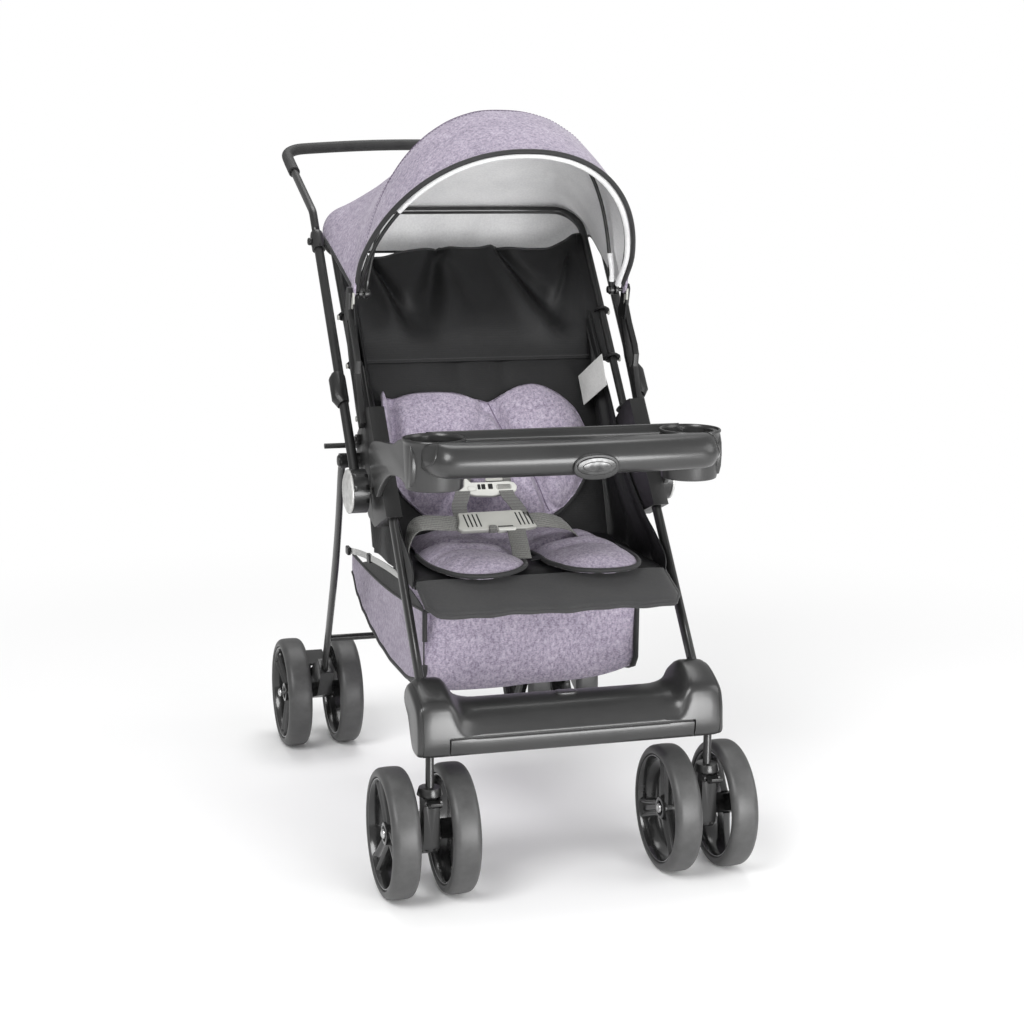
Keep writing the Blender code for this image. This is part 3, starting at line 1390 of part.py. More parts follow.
def tray_section(x, shrink=0.0):
    """The tray's rolled front bar at one place across it."""
    bow_out = TRAY_BULGE * (1 - (x / TRAY_BAR_HALF) ** 2)
    f = TRAY_FRONT_Y - bow_out + shrink
    t = TRAY_TOP
    tuck = shrink * 0.25
    back = -0.008
    section = [
        (back, t - 0.010),
        (back, t - 0.002 - tuck),
        (min(-0.034 + shrink * 0.5, back - 0.004), t + 0.003 - tuck),
        (min(f + 0.014, back - 0.008), t + 0.001 - tuck),
        (min(f + 0.004, back - 0.012), t - 0.009 - tuck),
        (min(f, back - 0.014), t - 0.021),
        (min(f + 0.005, back - 0.012), t - 0.034 + tuck),
        (min(f + 0.016, back - 0.008), t - 0.042 + tuck),
        (min(f + 0.028, back - 0.003), t - 0.039 + tuck),
        (min(-0.022 + shrink * 0.4, back - 0.001), t - 0.015),
    ]
    return [(x, y, z) for y, z in section]


def tray_arm(sign):
    rear = TRAY_ARM_REAR
    outline = [
        (CUP_Y - 0.018, TRAY_TOP - 0.004), (CUP_Y - 0.018, TRAY_TOP - CUP_DEPTH + 0.006),
        (CUP_Y + 0.042, TRAY_TOP - CUP_DEPTH + 0.008), (CUP_Y + 0.105, TRAY_TOP - 0.066),
        (rear - 0.062, TRAY_TOP - 0.092), (rear - 0.044, TRAY_TOP - 0.106),
        (rear - 0.022, TRAY_TOP - 0.090), (rear, TRAY_TOP - 0.062), (rear - 0.002, TRAY_TOP - 0.044),
        (rear - 0.036, TRAY_TOP - 0.030), (CUP_Y + 0.080, TRAY_TOP - 0.018),
        (CUP_Y + 0.040, TRAY_TOP - 0.006),
    ]
    return prism("arm", outline, sign * STAY_INNER_X, sign * (STAY_OUTER_X - 0.0002),
                 dark_plastic())


def round_z(name, x, y, low, high, radii, sides, finish):
    rings = []
    for z, radius in ((low, radii[0]), (high, radii[1])):
        rings.append([
            (x + radius * math.cos(2 * math.pi * (k + 0.5) / sides),
             y + radius * math.sin(2 * math.pi * (k + 0.5) / sides), z)
            for k in range(sides)
        ])
    return loft(name, rings, finish)


def tray():
    rings = []
    for share, shrink in ((1.0, 0.036), (0.985, 0.024), (0.94, 0.010), (0.86, 0.002), (0.45, 0.0)):
        rings.append((share, shrink))
    stations = rings + [(0.0, 0.0)] + [(-share, shrink) for share, shrink in reversed(rings)]
    rings = [tray_section(TRAY_BAR_HALF * share, shrink) for share, shrink in stations]
    made = loft("tray", rings, dark_plastic(), (0, CUP_Y, TRAY_TOP), 40)
    deck = [(-0.020, TRAY_TOP - 0.003), (-0.020, TRAY_TOP - 0.013), (0.036, TRAY_TOP - 0.013),
            (0.039, TRAY_TOP + 0.0005), (0.034, TRAY_TOP + 0.0005), (0.031, TRAY_TOP - 0.008),
            (-0.006, TRAY_TOP - 0.008)]
    join(made, prism("deck", deck, -CUP_X, CUP_X, dark_plastic()))
    for sign in (1, -1):
        join(made, tray_arm(sign))
        join(made, round_z("cup", sign * CUP_X, CUP_Y, TRAY_TOP - CUP_DEPTH, TRAY_TOP,
                           (CUP_RADIUS * 0.93, CUP_RADIUS), 24, dark_plastic()))
    for sign in (1, -1):
        cut(made, round_z("well", sign * CUP_X, CUP_Y, TRAY_TOP - CUP_DEPTH + CUP_WALL,
                          TRAY_TOP + 0.02, (CUP_RADIUS * 0.93 - CUP_WALL, CUP_RADIUS - CUP_WALL),
                          24, dark_plastic()))
    smooth(made, 40)


# Basket

def basket_outline(inset, lift):
    low = BASKET_BOTTOM_Z + inset + lift
    top = BASKET_TOP_Z + (0.03 if inset else 0.0)
    front = BASKET_FRONT_Y + inset
    rear = BASKET_REAR_Y - inset
    return [
        (front, top), (front, low + 0.020), (front + 0.012, low + 0.005), (front + 0.050, low),
        (0.380, low), (0.450, low + 0.010 - inset * 0.2 - lift * 0.3),
        (rear, 0.296 + inset * 0.6 + lift * 0.4), (rear, top),
    ]


def basket_body(inset):
    """The bag's outer or inner form: its floor sags between the rounded sides."""
    half = BASKET_HALF_WIDTH - inset
    rings = []
    for share, lift in ((1.0, 0.028), (0.95, 0.019), (0.80, 0.010), (0.45, 0.003), (0.0, 0.0)):
        rings.append([(half * share, y, z) for y, z in basket_outline(inset, lift)])
    others = [[(-x, y, z) for x, y, z in ring] for ring in reversed(rings[:-1])]
    return loft("basket", rings + others, lilac_fabric(), crease=40)


def basket():
    half = BASKET_HALF_WIDTH
    made = basket_body(0.0)
    cut(made, basket_body(BASKET_WALL))
    for sign in (1, -1):
        rear = rear_leg_place(0.290)
        tab = [(rear[1] - 0.010, BASKET_TOP_Z - 0.056), (rear[1] + 0.010, BASKET_TOP_Z - 0.056),
               (rear[1] + 0.010, BASKET_TOP_Z - 0.054), (rear[1] - 0.010, BASKET_TOP_Z - 0.054)]
        outer = rear[0] - REAR_LEG_WIDTH / 2 - 0.0007
        join(made, prism("tab", tab, sign * (half - 0.002), sign * outer, lilac_fabric()))
        y, z = leg_place(BASKET_TOP_Z - 0.004)
        front = [(y - 0.004, z - 0.001), (y - 0.004, z + 0.001), (BASKET_FRONT_Y + 0.002, z + 0.001),
                 (BASKET_FRONT_Y + 0.030, z + 0.001), (BASKET_FRONT_Y + 0.030, z - 0.001)]
        reach = LEG_X - LEG_WIDTH / 2 - FIT
        strap = []
        for py, x in ((y - 0.008, reach), (y + 0.010, reach), (BASKET_FRONT_Y + 0.040, half - 0.002),
                      (BASKET_FRONT_Y + 0.010, half - 0.002)):
            strap.append((sign * x, py))
        rings = [[(px, py, pz) for px, py in strap] for pz in (front[0][1], front[1][1])]
        join(made, loft("strap", rings, lilac_fabric()))
    smooth(made, 30)


# Harness

def rounded_block(name, x0, x1, y0, y1, z0, z1, bevel, finish, tilt=0.0, about=(0.0, 0.0)):
    """A block with chamfered long edges, tilted in the side view about a point."""
    outline = [(y0 + bevel, z0), (y1 - bevel, z0), (y1, z0 + bevel), (y1, z1 - bevel),
               (y1 - bevel, z1), (y0 + bevel, z1), (y0, z1 - bevel), (y0, z0 + bevel)]
    turned = []
    for y, z in outline:
        dy, dz = y - about[0], z - about[1]
        turned.append((about[0] + dy * math.cos(tilt) - dz * math.sin(tilt),
                       about[1] + dy * math.sin(tilt) + dz * math.cos(tilt)))
    return prism(name, turned, x0, x1, finish)


def seat_surface(share):
    return SEAT_TOP_Z + SEAT_PAD_THICKNESS + FIT * 2 + share


def harness():
    """Waist straps and their buckle, lying on the seat pad."""
    low = seat_surface(0.0)
    buckle = rounded_block("waist_harness", -0.044, 0.044, 0.196, 0.222, low, low + 0.013,
                           0.003, grey_webbing())
    for sign in (1, -1):
        strap = rounded_block("strap", sign * 0.036, sign * 0.165, 0.199, 0.219, low + 0.003,
                              low + 0.006, 0.0008, grey_webbing())
        join(buckle, strap)


def make_frame():
    footrest()
    for side, sign in SIDES:
        caster(side, sign)
        swivel_lock(side, sign)
        leg_bar(f"front_leg_{side}", sign, LEG_BOTTOM_Z, LEG_TOP_Z)
        rear_bracket(side, sign)
        axle(f"rear_axle_{side}", sign * REAR_TRACK / 2, WHEELBASE, REAR_TWIN)
        brake_pedal(side, sign)
        hub(side, sign)
        handle_tube(side, sign)
        handle_cap(side, sign)
        collar_button(side, sign)
        release_slider(side, sign)
        fold_lever(side, sign)
    rear_frame()
    upper_handle()
    grip()
    back_frame()


def make_soft_parts():
    canopy_cover()
    seat_shell()
    backrest()
    cushions()
    legrest()
    basket()
    harness()


def main():
    clear_scene()
    base = bpy.data.objects.new("chair_base", None)
    base.location = (0.0, -ORIGIN_Y, 0.0)
    bpy.context.scene.collection.objects.link(base)
    make_wheels()
    make_frame()
    for side, sign in SIDES:
        stay(side, sign)
    bow("canopy_front_bow", FRONT_BOW_ANGLE, FRONT_BOW_HEIGHT, FRONT_BOW_X, 2.15, 0.0040)
    bow("canopy_mid_bow", MID_BOW_ANGLE, MID_BOW_HEIGHT, MID_BOW_X, 2.2, -0.0050)
    tray()
    make_soft_parts()


main()
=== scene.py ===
import json
import math

import bmesh
import bpy
from mathutils import Matrix, Vector, noise

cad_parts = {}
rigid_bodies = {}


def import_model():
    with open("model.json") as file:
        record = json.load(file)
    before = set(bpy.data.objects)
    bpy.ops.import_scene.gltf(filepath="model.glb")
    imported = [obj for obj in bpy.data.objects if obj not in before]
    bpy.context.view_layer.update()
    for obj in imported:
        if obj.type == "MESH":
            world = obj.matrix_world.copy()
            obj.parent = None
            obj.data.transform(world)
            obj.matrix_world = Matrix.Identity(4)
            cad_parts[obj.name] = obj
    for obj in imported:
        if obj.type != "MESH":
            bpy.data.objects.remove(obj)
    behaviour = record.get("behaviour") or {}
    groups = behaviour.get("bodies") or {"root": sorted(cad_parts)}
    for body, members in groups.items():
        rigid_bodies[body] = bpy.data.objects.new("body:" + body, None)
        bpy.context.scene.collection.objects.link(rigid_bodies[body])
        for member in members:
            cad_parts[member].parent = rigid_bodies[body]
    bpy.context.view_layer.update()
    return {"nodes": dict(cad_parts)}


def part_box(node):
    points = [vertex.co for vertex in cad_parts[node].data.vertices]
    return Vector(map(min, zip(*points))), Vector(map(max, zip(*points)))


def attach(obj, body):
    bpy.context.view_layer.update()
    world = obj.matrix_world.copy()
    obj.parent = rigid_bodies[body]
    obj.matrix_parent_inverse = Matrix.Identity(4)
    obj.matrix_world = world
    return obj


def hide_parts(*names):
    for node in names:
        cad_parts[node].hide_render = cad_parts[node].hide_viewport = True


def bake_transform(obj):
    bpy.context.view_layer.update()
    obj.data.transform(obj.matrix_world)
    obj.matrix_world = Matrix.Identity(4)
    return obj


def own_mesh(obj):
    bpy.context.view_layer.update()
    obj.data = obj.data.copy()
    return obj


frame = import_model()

AXLE_LOW, AXLE_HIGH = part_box("front_axle_left")
ORIGIN_Y = -(AXLE_LOW.y + AXLE_HIGH.y) / 2
SIDES = (("left", 1), ("right", -1))

# Camera and studio

CAMERA_PLACE = Vector((-0.8103, -2.4420, 1.0133))
CAMERA_TURN = math.radians(16.771)
CAMERA_DIP = math.radians(11.226)
CAMERA_ROLL = math.radians(0.600)
CAMERA_LENS = 70.911
SENSOR = 36.0
WORLD_LIGHT = 0.50
# name, place, target, width, watts
LAMPS = (("key", (-1.9, -2.1, 2.5), (0.0, 0.0, 0.5), 1.8, 74.0),
         ("fill", (2.4, -1.6, 1.7), (0.0, 0.0, 0.5), 2.0, 26.0),
         ("top", (0.2, 0.9, 3.0), (0.0, 0.0, 0.6), 2.0, 34.0),
         ("strip", (0.55, -2.3, 0.35), (0.0, 0.0, 0.5), 1.15, 44.0))
FLOOR_RADIUS = 14.0
WHITE = (1.0, 1.0, 1.0, 1.0)


def put_in_scene(item):
    bpy.context.scene.collection.objects.link(item)
    return item


def place_camera():
    a, e, roll = CAMERA_TURN, CAMERA_DIP, CAMERA_ROLL
    ahead = Vector((math.sin(a) * math.cos(e), math.cos(a) * math.cos(e), -math.sin(e)))
    level = Vector((math.cos(a), -math.sin(a), 0.0))
    right = level * math.cos(roll) + level.cross(ahead) * math.sin(roll)
    data = bpy.data.cameras.new("camera")
    data.lens, data.sensor_width, data.clip_end = CAMERA_LENS, SENSOR, 100.0
    camera = put_in_scene(bpy.data.objects.new("camera", data))
    turn = Matrix((right, right.cross(ahead), -ahead)).transposed().to_4x4()
    camera.matrix_world = Matrix.Translation(CAMERA_PLACE - Vector((0, ORIGIN_Y, 0))) @ turn
    bpy.context.scene.camera = camera


def build_studio():
    """A white world, a pale floor, three soft lamps and a low one for the long highlights."""
    world = bpy.data.worlds.new("studio")
    world.use_nodes = True
    bpy.context.scene.world = world
    tree = world.node_tree
    tree.nodes.clear()
    rays, seen, lit, white, mix, out = [tree.nodes.new("ShaderNode" + kind) for kind in (
        "LightPath", "Math", "Background", "Background", "MixShader", "OutputWorld")]
    seen.operation = "MAXIMUM"
    for shader, strength in ((lit, WORLD_LIGHT), (white, 1.0)):
        shader.inputs["Color"].default_value = WHITE
        shader.inputs["Strength"].default_value = strength
    for a, b in ((rays.outputs["Is Camera Ray"], seen.inputs[0]),
                 (rays.outputs["Is Transmission Ray"], seen.inputs[1]),
                 (seen.outputs[0], mix.inputs["Fac"]), (lit.outputs[0], mix.inputs[1]),
                 (white.outputs[0], mix.inputs[2]), (mix.outputs[0], out.inputs["Surface"])):
        tree.links.new(a, b)
    mesh = bpy.data.meshes.new("floor")
    rim = [(FLOOR_RADIUS * math.cos(turn), FLOOR_RADIUS * math.sin(turn), 0.0)
           for turn in turns(96)]
    mesh.from_pydata(rim, [], [tuple(range(len(rim)))])
    mesh.materials.append(floor_paint())
    put_in_scene(bpy.data.objects.new("floor", mesh))
    for name, place, target, width, watts in LAMPS:
        data = bpy.data.lights.new(name, "AREA")
        data.shape, data.size, data.energy = "DISK", width, watts
        item = put_in_scene(bpy.data.objects.new(name, data))
        item.location = place
        way = Vector(target) - Vector(place)
        item.rotation_euler = way.to_track_quat("-Z", "Y").to_euler()
    bpy.context.scene.view_settings.view_transform = "Standard"


# Materials, all worked out from nodes in object space

def linear(level):
    """An sRGB level from 0 to 255 as linear light."""
    s = level / 255.0
    return s / 12.92 if s <= 0.04045 else ((s + 0.055) / 1.055) ** 2.4


def tint(levels):
    """A linear colour from one grey level or three sRGB levels; four values stay as they are."""
    if isinstance(levels, tuple) and len(levels) == 4:
        return levels
    three = levels if isinstance(levels, tuple) else (levels,) * 3
    return (*[linear(level) for level in three], 1.0)


class Finish:
    """A Principled material with short calls for the nodes that this scene uses."""

    def __init__(self, name, roughness, metallic=0.0, sheen=0.0, coat=0.0, shine=0.5):
        self.material = bpy.data.materials.new(name)
        self.material.use_nodes = True
        self.tree = self.material.node_tree
        self.shader = self.tree.nodes["Principled BSDF"]
        for key, value in (("Roughness", roughness), ("Metallic", metallic),
                           ("Sheen Weight", sheen), ("Sheen Roughness", 0.5),
                           ("Coat Weight", coat), ("Coat Roughness", 0.12),
                           ("Specular IOR Level", shine)):
            self.shader.inputs[key].default_value = value
        self.spot = self.node("TexCoord").outputs["Object"]
        self.height = None

    def link(self, a, b):
        self.tree.links.new(a, b)

    def node(self, kind, inputs=None, **settings):
        """A node with its settings, and with its inputs given values or links."""
        made = self.tree.nodes.new("ShaderNode" + kind)
        for key, value in settings.items():
            setattr(made, key, value)
        for key, value in (inputs or {}).items():
            if isinstance(value, (int, float, tuple)):
                made.inputs[key].default_value = value
            else:
                self.link(value, made.inputs[key])
        return made

    def speckle(self, size, detail=2.0, rough=0.5, stretch=None):
        """Cloudy noise whose features are about size metres."""
        spot = self.spot
        if stretch:
            spot = self.node("Mapping", {"Scale": stretch, "Vector": spot}).outputs["Vector"]
        return self.node("TexNoise", {"Scale": 1.0 / size, "Detail": detail,
                                      "Roughness": rough, "Vector": spot}).outputs["Fac"]

    def weave(self, pitch, warp=0.6):
        """Three crossed sets of threads, so that any surface shows two of them."""
        x, y, z = [self.node("TexWave", {"Scale": 2 * math.pi / (20.0 * pitch),
                                         "Distortion": warp, "Detail Scale": 2.0,
                                         "Vector": self.spot},
                             wave_type="BANDS", bands_direction=axis).outputs["Fac"]
                   for axis in "XYZ"]
        return self.math("MULTIPLY", self.math("ADD", self.math("ADD", x, y), z), 1 / 3)

    def math(self, operation, a, b):
        return self.node("Math", {0: a, 1: b}, operation=operation).outputs[0]

    def mean(self, a, b):
        return self.math("MULTIPLY", self.math("ADD", a, b), 0.5)

    def ramp(self, value, *stops):
        made = self.node("ValToRGB", {"Fac": value})
        spots = made.color_ramp.elements
        while len(spots) < len(stops):
            spots.new(0.5)
        for spot, (position, levels) in zip(spots, stops):
            spot.position = position
            spot.color = tint(levels)
        return made.outputs["Color"]

    def blend(self, share, a, b, mode="MIX"):
        return self.node("Mix", {"Factor": share, "A": a, "B": b}, data_type="RGBA",
                         blend_type=mode).outputs["Result"]

    def paint(self, value):
        self.link(value, self.shader.inputs["Base Color"])

    def rough(self, value, low, high):
        spread = self.node("MapRange", {"To Min": low, "To Max": high, "Value": value})
        self.link(spread.outputs["Result"], self.shader.inputs["Roughness"])

    def emboss(self, value, depth, strength):
        inputs = {"Strength": strength, "Distance": depth, "Height": value}
        if self.height is not None:
            inputs["Normal"] = self.height
        self.height = self.node("Bump", inputs).outputs["Normal"]
        self.link(self.height, self.shader.inputs["Normal"])


def floor_paint():
    """A pale floor that keeps the shadow and fades into the white background."""
    f = Finish("floor_paint", 0.85)
    f.paint(f.ramp(f.speckle(1.6), (0.3, 243), (0.7, 247)))
    distance = f.node("VectorMath", {0: f.spot}, operation="LENGTH").outputs["Value"]
    spread = f.node("MapRange", {"From Min": 0.55, "From Max": 1.9, "Value": distance},
                    interpolation_type="SMOOTHSTEP").outputs["Result"]
    seen = f.node("LightPath").outputs["Is Camera Ray"]
    white = f.node("Emission", {"Strength": 1.0}).outputs[0]
    mix = f.node("MixShader", {"Fac": f.math("MULTIPLY", spread, seen),
                               1: f.shader.outputs[0], 2: white})
    f.link(mix.outputs[0], f.tree.nodes["Material Output"].inputs["Surface"])
    return f.material


def melange(name, light, middle, dark):
    """A heathered plain weave: two tones of yarn, broken by paler and darker flecks."""
    f = Finish(name, 0.88, sheen=0.12)
    yarn = f.speckle(0.0042, 3.0, 0.62, (1.0, 1.0, 0.62))
    fleck = f.speckle(0.0016, 2.0, 0.7, (0.55, 1.0, 1.0))
    mixed = f.math("ADD", f.math("MULTIPLY", yarn, 0.55), f.math("MULTIPLY", fleck, 0.45))
    tone = f.ramp(mixed, (0.36, dark), (0.50, middle), (0.64, light))
    shade = f.ramp(f.speckle(0.045), (0.3, (236, 236, 238)), (0.7, 255))
    f.paint(f.blend(1.0, tone, shade, "MULTIPLY"))
    f.emboss(f.weave(0.0013), 0.00035, 0.7)
    f.emboss(yarn, 0.0006, 0.35)
    return f.material


def plain_cloth(name, light, dark, pitch=0.0011, roughness=0.9, sheen=0.1, crumple=0.0,
                painted_glow=0.0, shine=0.5):
    """Plain weave. Any glow is painted light: the cloth's tone given out as emission, for the
    light that comes through a thin pale cloth.
    """
    f = Finish(name, roughness, sheen=sheen, shine=shine)
    tone = f.ramp(f.mean(f.speckle(0.0030, 3.0, 0.6), f.speckle(0.060)),
                  (0.35, dark), (0.65, light))
    f.paint(tone)
    f.emboss(f.weave(pitch), 0.00030, 0.6)
    # painted light: the cloth glows in its own tone, standing in for light that comes through it
    if painted_glow:
        f.link(tone, f.shader.inputs["Emission Color"])
        f.shader.inputs["Emission Strength"].default_value = painted_glow
    if crumple:
        f.emboss(f.speckle(0.030, 3.0, 0.55), crumple, 0.6)
    return f.material


def webbing_cloth(name, light, dark):
    """Ribbed strap tape."""
    f = Finish(name, 0.72, sheen=0.15)
    groove_shade_strip = f.weave(0.0022, 0.1)
    f.paint(f.ramp(f.mean(groove_shade_strip, f.speckle(0.0022, 2.0, 0.6)), (0.36, dark), (0.62, light)))
    f.emboss(groove_shade_strip, 0.0005, 0.9)
    return f.material


def moulded(name, light, dark, low, high, grain=0.0009, depth=0.00010, coat=0.0):
    """Textured plastic: fine spark-eroded grain, slight flow marks and rubbed patches."""
    f = Finish(name, low, coat=coat)
    flow = f.speckle(0.090, 3.0, 0.5, (1.0, 0.5, 2.0))
    fine = f.speckle(grain, 2.0, 0.6)
    f.paint(f.ramp(flow, (0.3, dark), (0.7, light)))
    f.rough(f.mean(flow, fine), low, high)
    f.emboss(fine, depth, 0.5)
    return f.material


def enamel(name, light, dark, low, high):
    """Powder coat on tube: orange peel, and a slightly thinner colour where it is handled."""
    f = Finish(name, low, coat=0.15)
    wear = f.speckle(0.070, 4.0, 0.6)
    f.paint(f.ramp(wear, (0.35, dark), (0.68, light)))
    f.rough(wear, low, high)
    f.emboss(f.speckle(0.0022), 0.00012, 0.45)
    return f.material


def bright_metal(name, light, dark, low, high, metallic=1.0):
    f = Finish(name, low, metallic=metallic)
    brushed = f.speckle(0.0008, 2.0, 0.6, (1.0, 1.0, 0.15))
    f.paint(f.ramp(f.speckle(0.010, 3.0), (0.35, dark), (0.65, light)))
    f.rough(brushed, low, high)
    f.emboss(brushed, 0.00005, 0.4)
    return f.material


def rubber(name, light, dark, low, high, dust=None):
    """Tyre or grip rubber with a matt bloom and, where given, floor dust."""
    f = Finish(name, low)
    bloom = f.speckle(0.018, 4.0, 0.65)
    tone = f.ramp(bloom, (0.32, dark), (0.70, light))
    if dust is not None:
        patch = f.ramp(f.speckle(0.030, 5.0, 0.7), (0.56, (0, 0, 0, 1)),
                       (0.74, (0.5, 0.5, 0.5, 1)))
        tone = f.blend(patch, tone, tint(dust))
    f.paint(tone)
    f.rough(bloom, low, high)
    f.emboss(f.speckle(0.0013, 2.0, 0.6), 0.00018, 0.5)
    return f.material


LILAC = melange("lilac_melange", (182, 173, 188), (155, 146, 162), (118, 108, 127))
LILAC_SEAM = plain_cloth("lilac_seam", (112, 100, 120), (92, 82, 100))
# the lining's glow is painted light, standing in for light through the thin cloth
LINING = plain_cloth("pale_lining", 214, (194, 194, 195), crumple=0.0014, painted_glow=0.06)
BLACK_CLOTH = plain_cloth("black_cloth", (21, 21, 22), (14, 14, 15), roughness=0.52, sheen=0.0,
                          crumple=0.0010, shine=0.32)
CALF_CLOTH = plain_cloth("calf_cloth", 48, (40, 40, 41), roughness=0.85, crumple=0.0006)
PIPING = plain_cloth("black_piping", (30, 30, 31), (20, 20, 21), pitch=0.0016, roughness=0.7)
WEBBING = webbing_cloth("grey_webbing", (114, 114, 111), (82, 82, 79))
PALE_TAPE = webbing_cloth("pale_tape", (196, 196, 194), (160, 160, 158))
SATIN_PLASTIC = moulded("satin_plastic", 44, 36, 0.26, 0.35, coat=0.15)
GLOSS_FORK = moulded("fork_plastic", 24, 17, 0.24, 0.38, coat=0.2)
DARK_PLASTIC = moulded("dark_plastic", 24, 17, 0.30, 0.46)
GLOSS_PLASTIC = moulded("gloss_plastic", 40, 30, 0.14, 0.26, grain=0.0015, depth=0.00004,
                        coat=0.4)
BUCKLE_PLASTIC = moulded("buckle_plastic", (170, 170, 165), (150, 150, 145), 0.30, 0.45)
PALE_PLASTIC = moulded("pale_plastic", (205, 205, 200), (186, 186, 181), 0.28, 0.42)
TUBE_PAINT = enamel("tube_enamel", 33, 25, 0.24, 0.38)
STEEL = bright_metal("bright_steel", 214, 186, 0.22, 0.38)
SILVER = bright_metal("silver_plastic", (200, 200, 198), (174, 174, 172), 0.34, 0.50,
                      metallic=0.35)
CHROME = bright_metal("chrome", 84, 60, 0.14, 0.26)
TYRE = rubber("tyre_rubber", 69, 58, 0.38, 0.50, dust=77)
FOAM = rubber("foam_rubber", 50, 38, 0.55, 0.72)
CARE_LABEL = plain_cloth("care_label", (206, 206, 204), (184, 184, 182), roughness=0.7)
ALL_BLACK = (BLACK_CLOTH,) * 3

TUBES = ("front_leg", "rear_frame", "handle_tube", "handle_upper", "back_frame",
         "canopy_front_bow", "canopy_mid_bow")
WHEEL_MOULDINGS = ("caster_fork", "swivel_lock", "rear_bracket")
DARK_MOULDINGS = ("brake_pedal", "hub_housing", "handle_release", "height_button", "fold_lever",
                  "canopy_stay")
NODE_FINISHES = (
    (SATIN_PLASTIC, ("footrest", "tray")), (TUBE_PAINT, TUBES), (TYRE, ("tyre",)),
    (GLOSS_PLASTIC, ("rim",)), (FOAM, ("handle_grip",)), (STEEL, ("front_axle", "rear_axle")),
    (SILVER, ("handle_cap",)), (DARK_PLASTIC, WHEEL_MOULDINGS + DARK_MOULDINGS))


def finish_nodes():
    """Give every CAD node with a stated finish its detailed material."""
    for material, prefixes in NODE_FINISHES:
        for name, item in frame["nodes"].items():
            if name.startswith(prefixes):
                for slot in item.material_slots:
                    slot.material = material


# Mesh tools. Lists of places are in the side view's own measure until make() moves them.

def make(name, verts, faces, finishes, body=None, crease=45.0, kinds=None):
    """One piece from vertices and faces. kinds gives each face's place in finishes."""
    mesh = bpy.data.meshes.new(name)
    mesh.from_pydata([(v[0], v[1] - ORIGIN_Y, v[2]) for v in verts], [], faces)
    for finish in finishes:
        mesh.materials.append(finish)
    if kinds is not None:
        mesh.polygons.foreach_set("material_index", kinds)
    item = put_in_scene(bpy.data.objects.new(name, mesh))
    shade(item, crease)
    if body is not None:
        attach(item, body)
    return item


def shade(item, crease):
    mesh = item.data
    mesh.polygons.foreach_set("use_smooth", [True] * len(mesh.polygons))
    mesh.set_sharp_from_angle(angle=math.radians(crease))
    mesh.update()


def outward(item):
    graph = bmesh.new()
    graph.from_mesh(item.data)
    bmesh.ops.recalc_face_normals(graph, faces=graph.faces[:])
    graph.to_mesh(item.data)
    graph.free()


def remove(item):
    mesh = item.data
    bpy.data.objects.remove(item)
    bpy.data.meshes.remove(mesh)


def modify(item, kind, **settings):
    """Add a modifier and apply it at once."""
    mod = item.modifiers.new(kind.lower(), kind)
    for key, value in settings.items():
        setattr(mod, key, value)
    graph = bpy.context.evaluated_depsgraph_get()
    graph.update()
    made = bpy.data.meshes.new_from_object(item.evaluated_get(graph))
    item.modifiers.clear()
    old, item.data = item.data, made
    bpy.data.meshes.remove(old)


def combine(item, *others):
    """Put the meshes of several pieces into one, keeping their materials."""
    graph = bmesh.new()
    finishes = []
    for part in (item, *others):
        places = []
        for finish in part.data.materials:
            if finish not in finishes:
                finishes.append(finish)
            places.append(finishes.index(finish))
        first = len(graph.faces)
        graph.from_mesh(part.data)
        graph.faces.ensure_lookup_table()
        for face in graph.faces[first:]:
            face.material_index = places[face.material_index] if places else 0
    item.data.materials.clear()
    for finish in finishes:
        item.data.materials.append(finish)
    graph.to_mesh(item.data)
    graph.free()
    for part in others:
        remove(part)


def along(start, angle, distance):
    return (start[0] + distance * math.cos(angle), start[1] + distance * math.sin(angle))


def beside(place, angle, offset):
    """A place moved square to a side-view line, to the left of its direction."""
    return (place[0] - offset * math.sin(angle), place[1] + offset * math.cos(angle))


def heading(a, b):
    return math.atan2(b[1] - a[1], b[0] - a[0])


def shifted(p):
    """A side-view place in the frame's own measure."""
    return (p[0], p[1] - ORIGIN_Y, p[2])


def ease(share):
    share = min(max(share, 0.0), 1.0)
    return share * share * (3 - 2 * share)


def bump(value, middle, width):
    return math.exp(-((value - middle) / width) ** 2)


def arch_of(share):
    """0 at both ends of a run, and 1 in its middle."""
    return math.sin(math.pi * share)


def turns(count):
    return [2 * math.pi * k / count for k in range(count)]


def cloud(point, size, seed):
    """Smooth noise from -1 to 1 with features about size metres."""
    return noise.noise(Vector(point) / size + Vector((seed, seed * 0.7, -seed)))


def between(p0, p1, p2, p3, t):
    """A share t of the way from p1 to p2, on a smooth curve through all four."""
    return 0.5 * (2 * p1 + (p2 - p0) * t + (2 * p0 - 5 * p1 + 4 * p2 - p3) * t * t
                  + (3 * p1 - p0 - 3 * p2 + p3) * t * t * t)


def curve_at(points, share):
    """A smooth curve through points, with share from 0 to 1 along their order."""
    spot = min(max(share, 0.0), 1.0) * (len(points) - 1)
    i = min(int(spot), len(points) - 2)
    p1, p2 = Vector(points[i]), Vector(points[i + 1])
    p0 = Vector(points[i - 1]) if i > 0 else 2 * p1 - p2
    p3 = Vector(points[i + 2]) if i + 2 < len(points) else 2 * p2 - p1
    return between(p0, p1, p2, p3, spot - i)


def smooth_path(points, steps):
    return [curve_at(points, k / steps) for k in range(steps + 1)]


def outline_points(corners, steps):
    """A closed smooth outline through corners."""
    spots = [Vector(c) for c in corners]
    count = len(spots)
    return [between(spots[i - 1], spots[i], spots[(i + 1) % count], spots[(i + 2) % count],
                    k / steps) for i in range(count) for k in range(steps)]


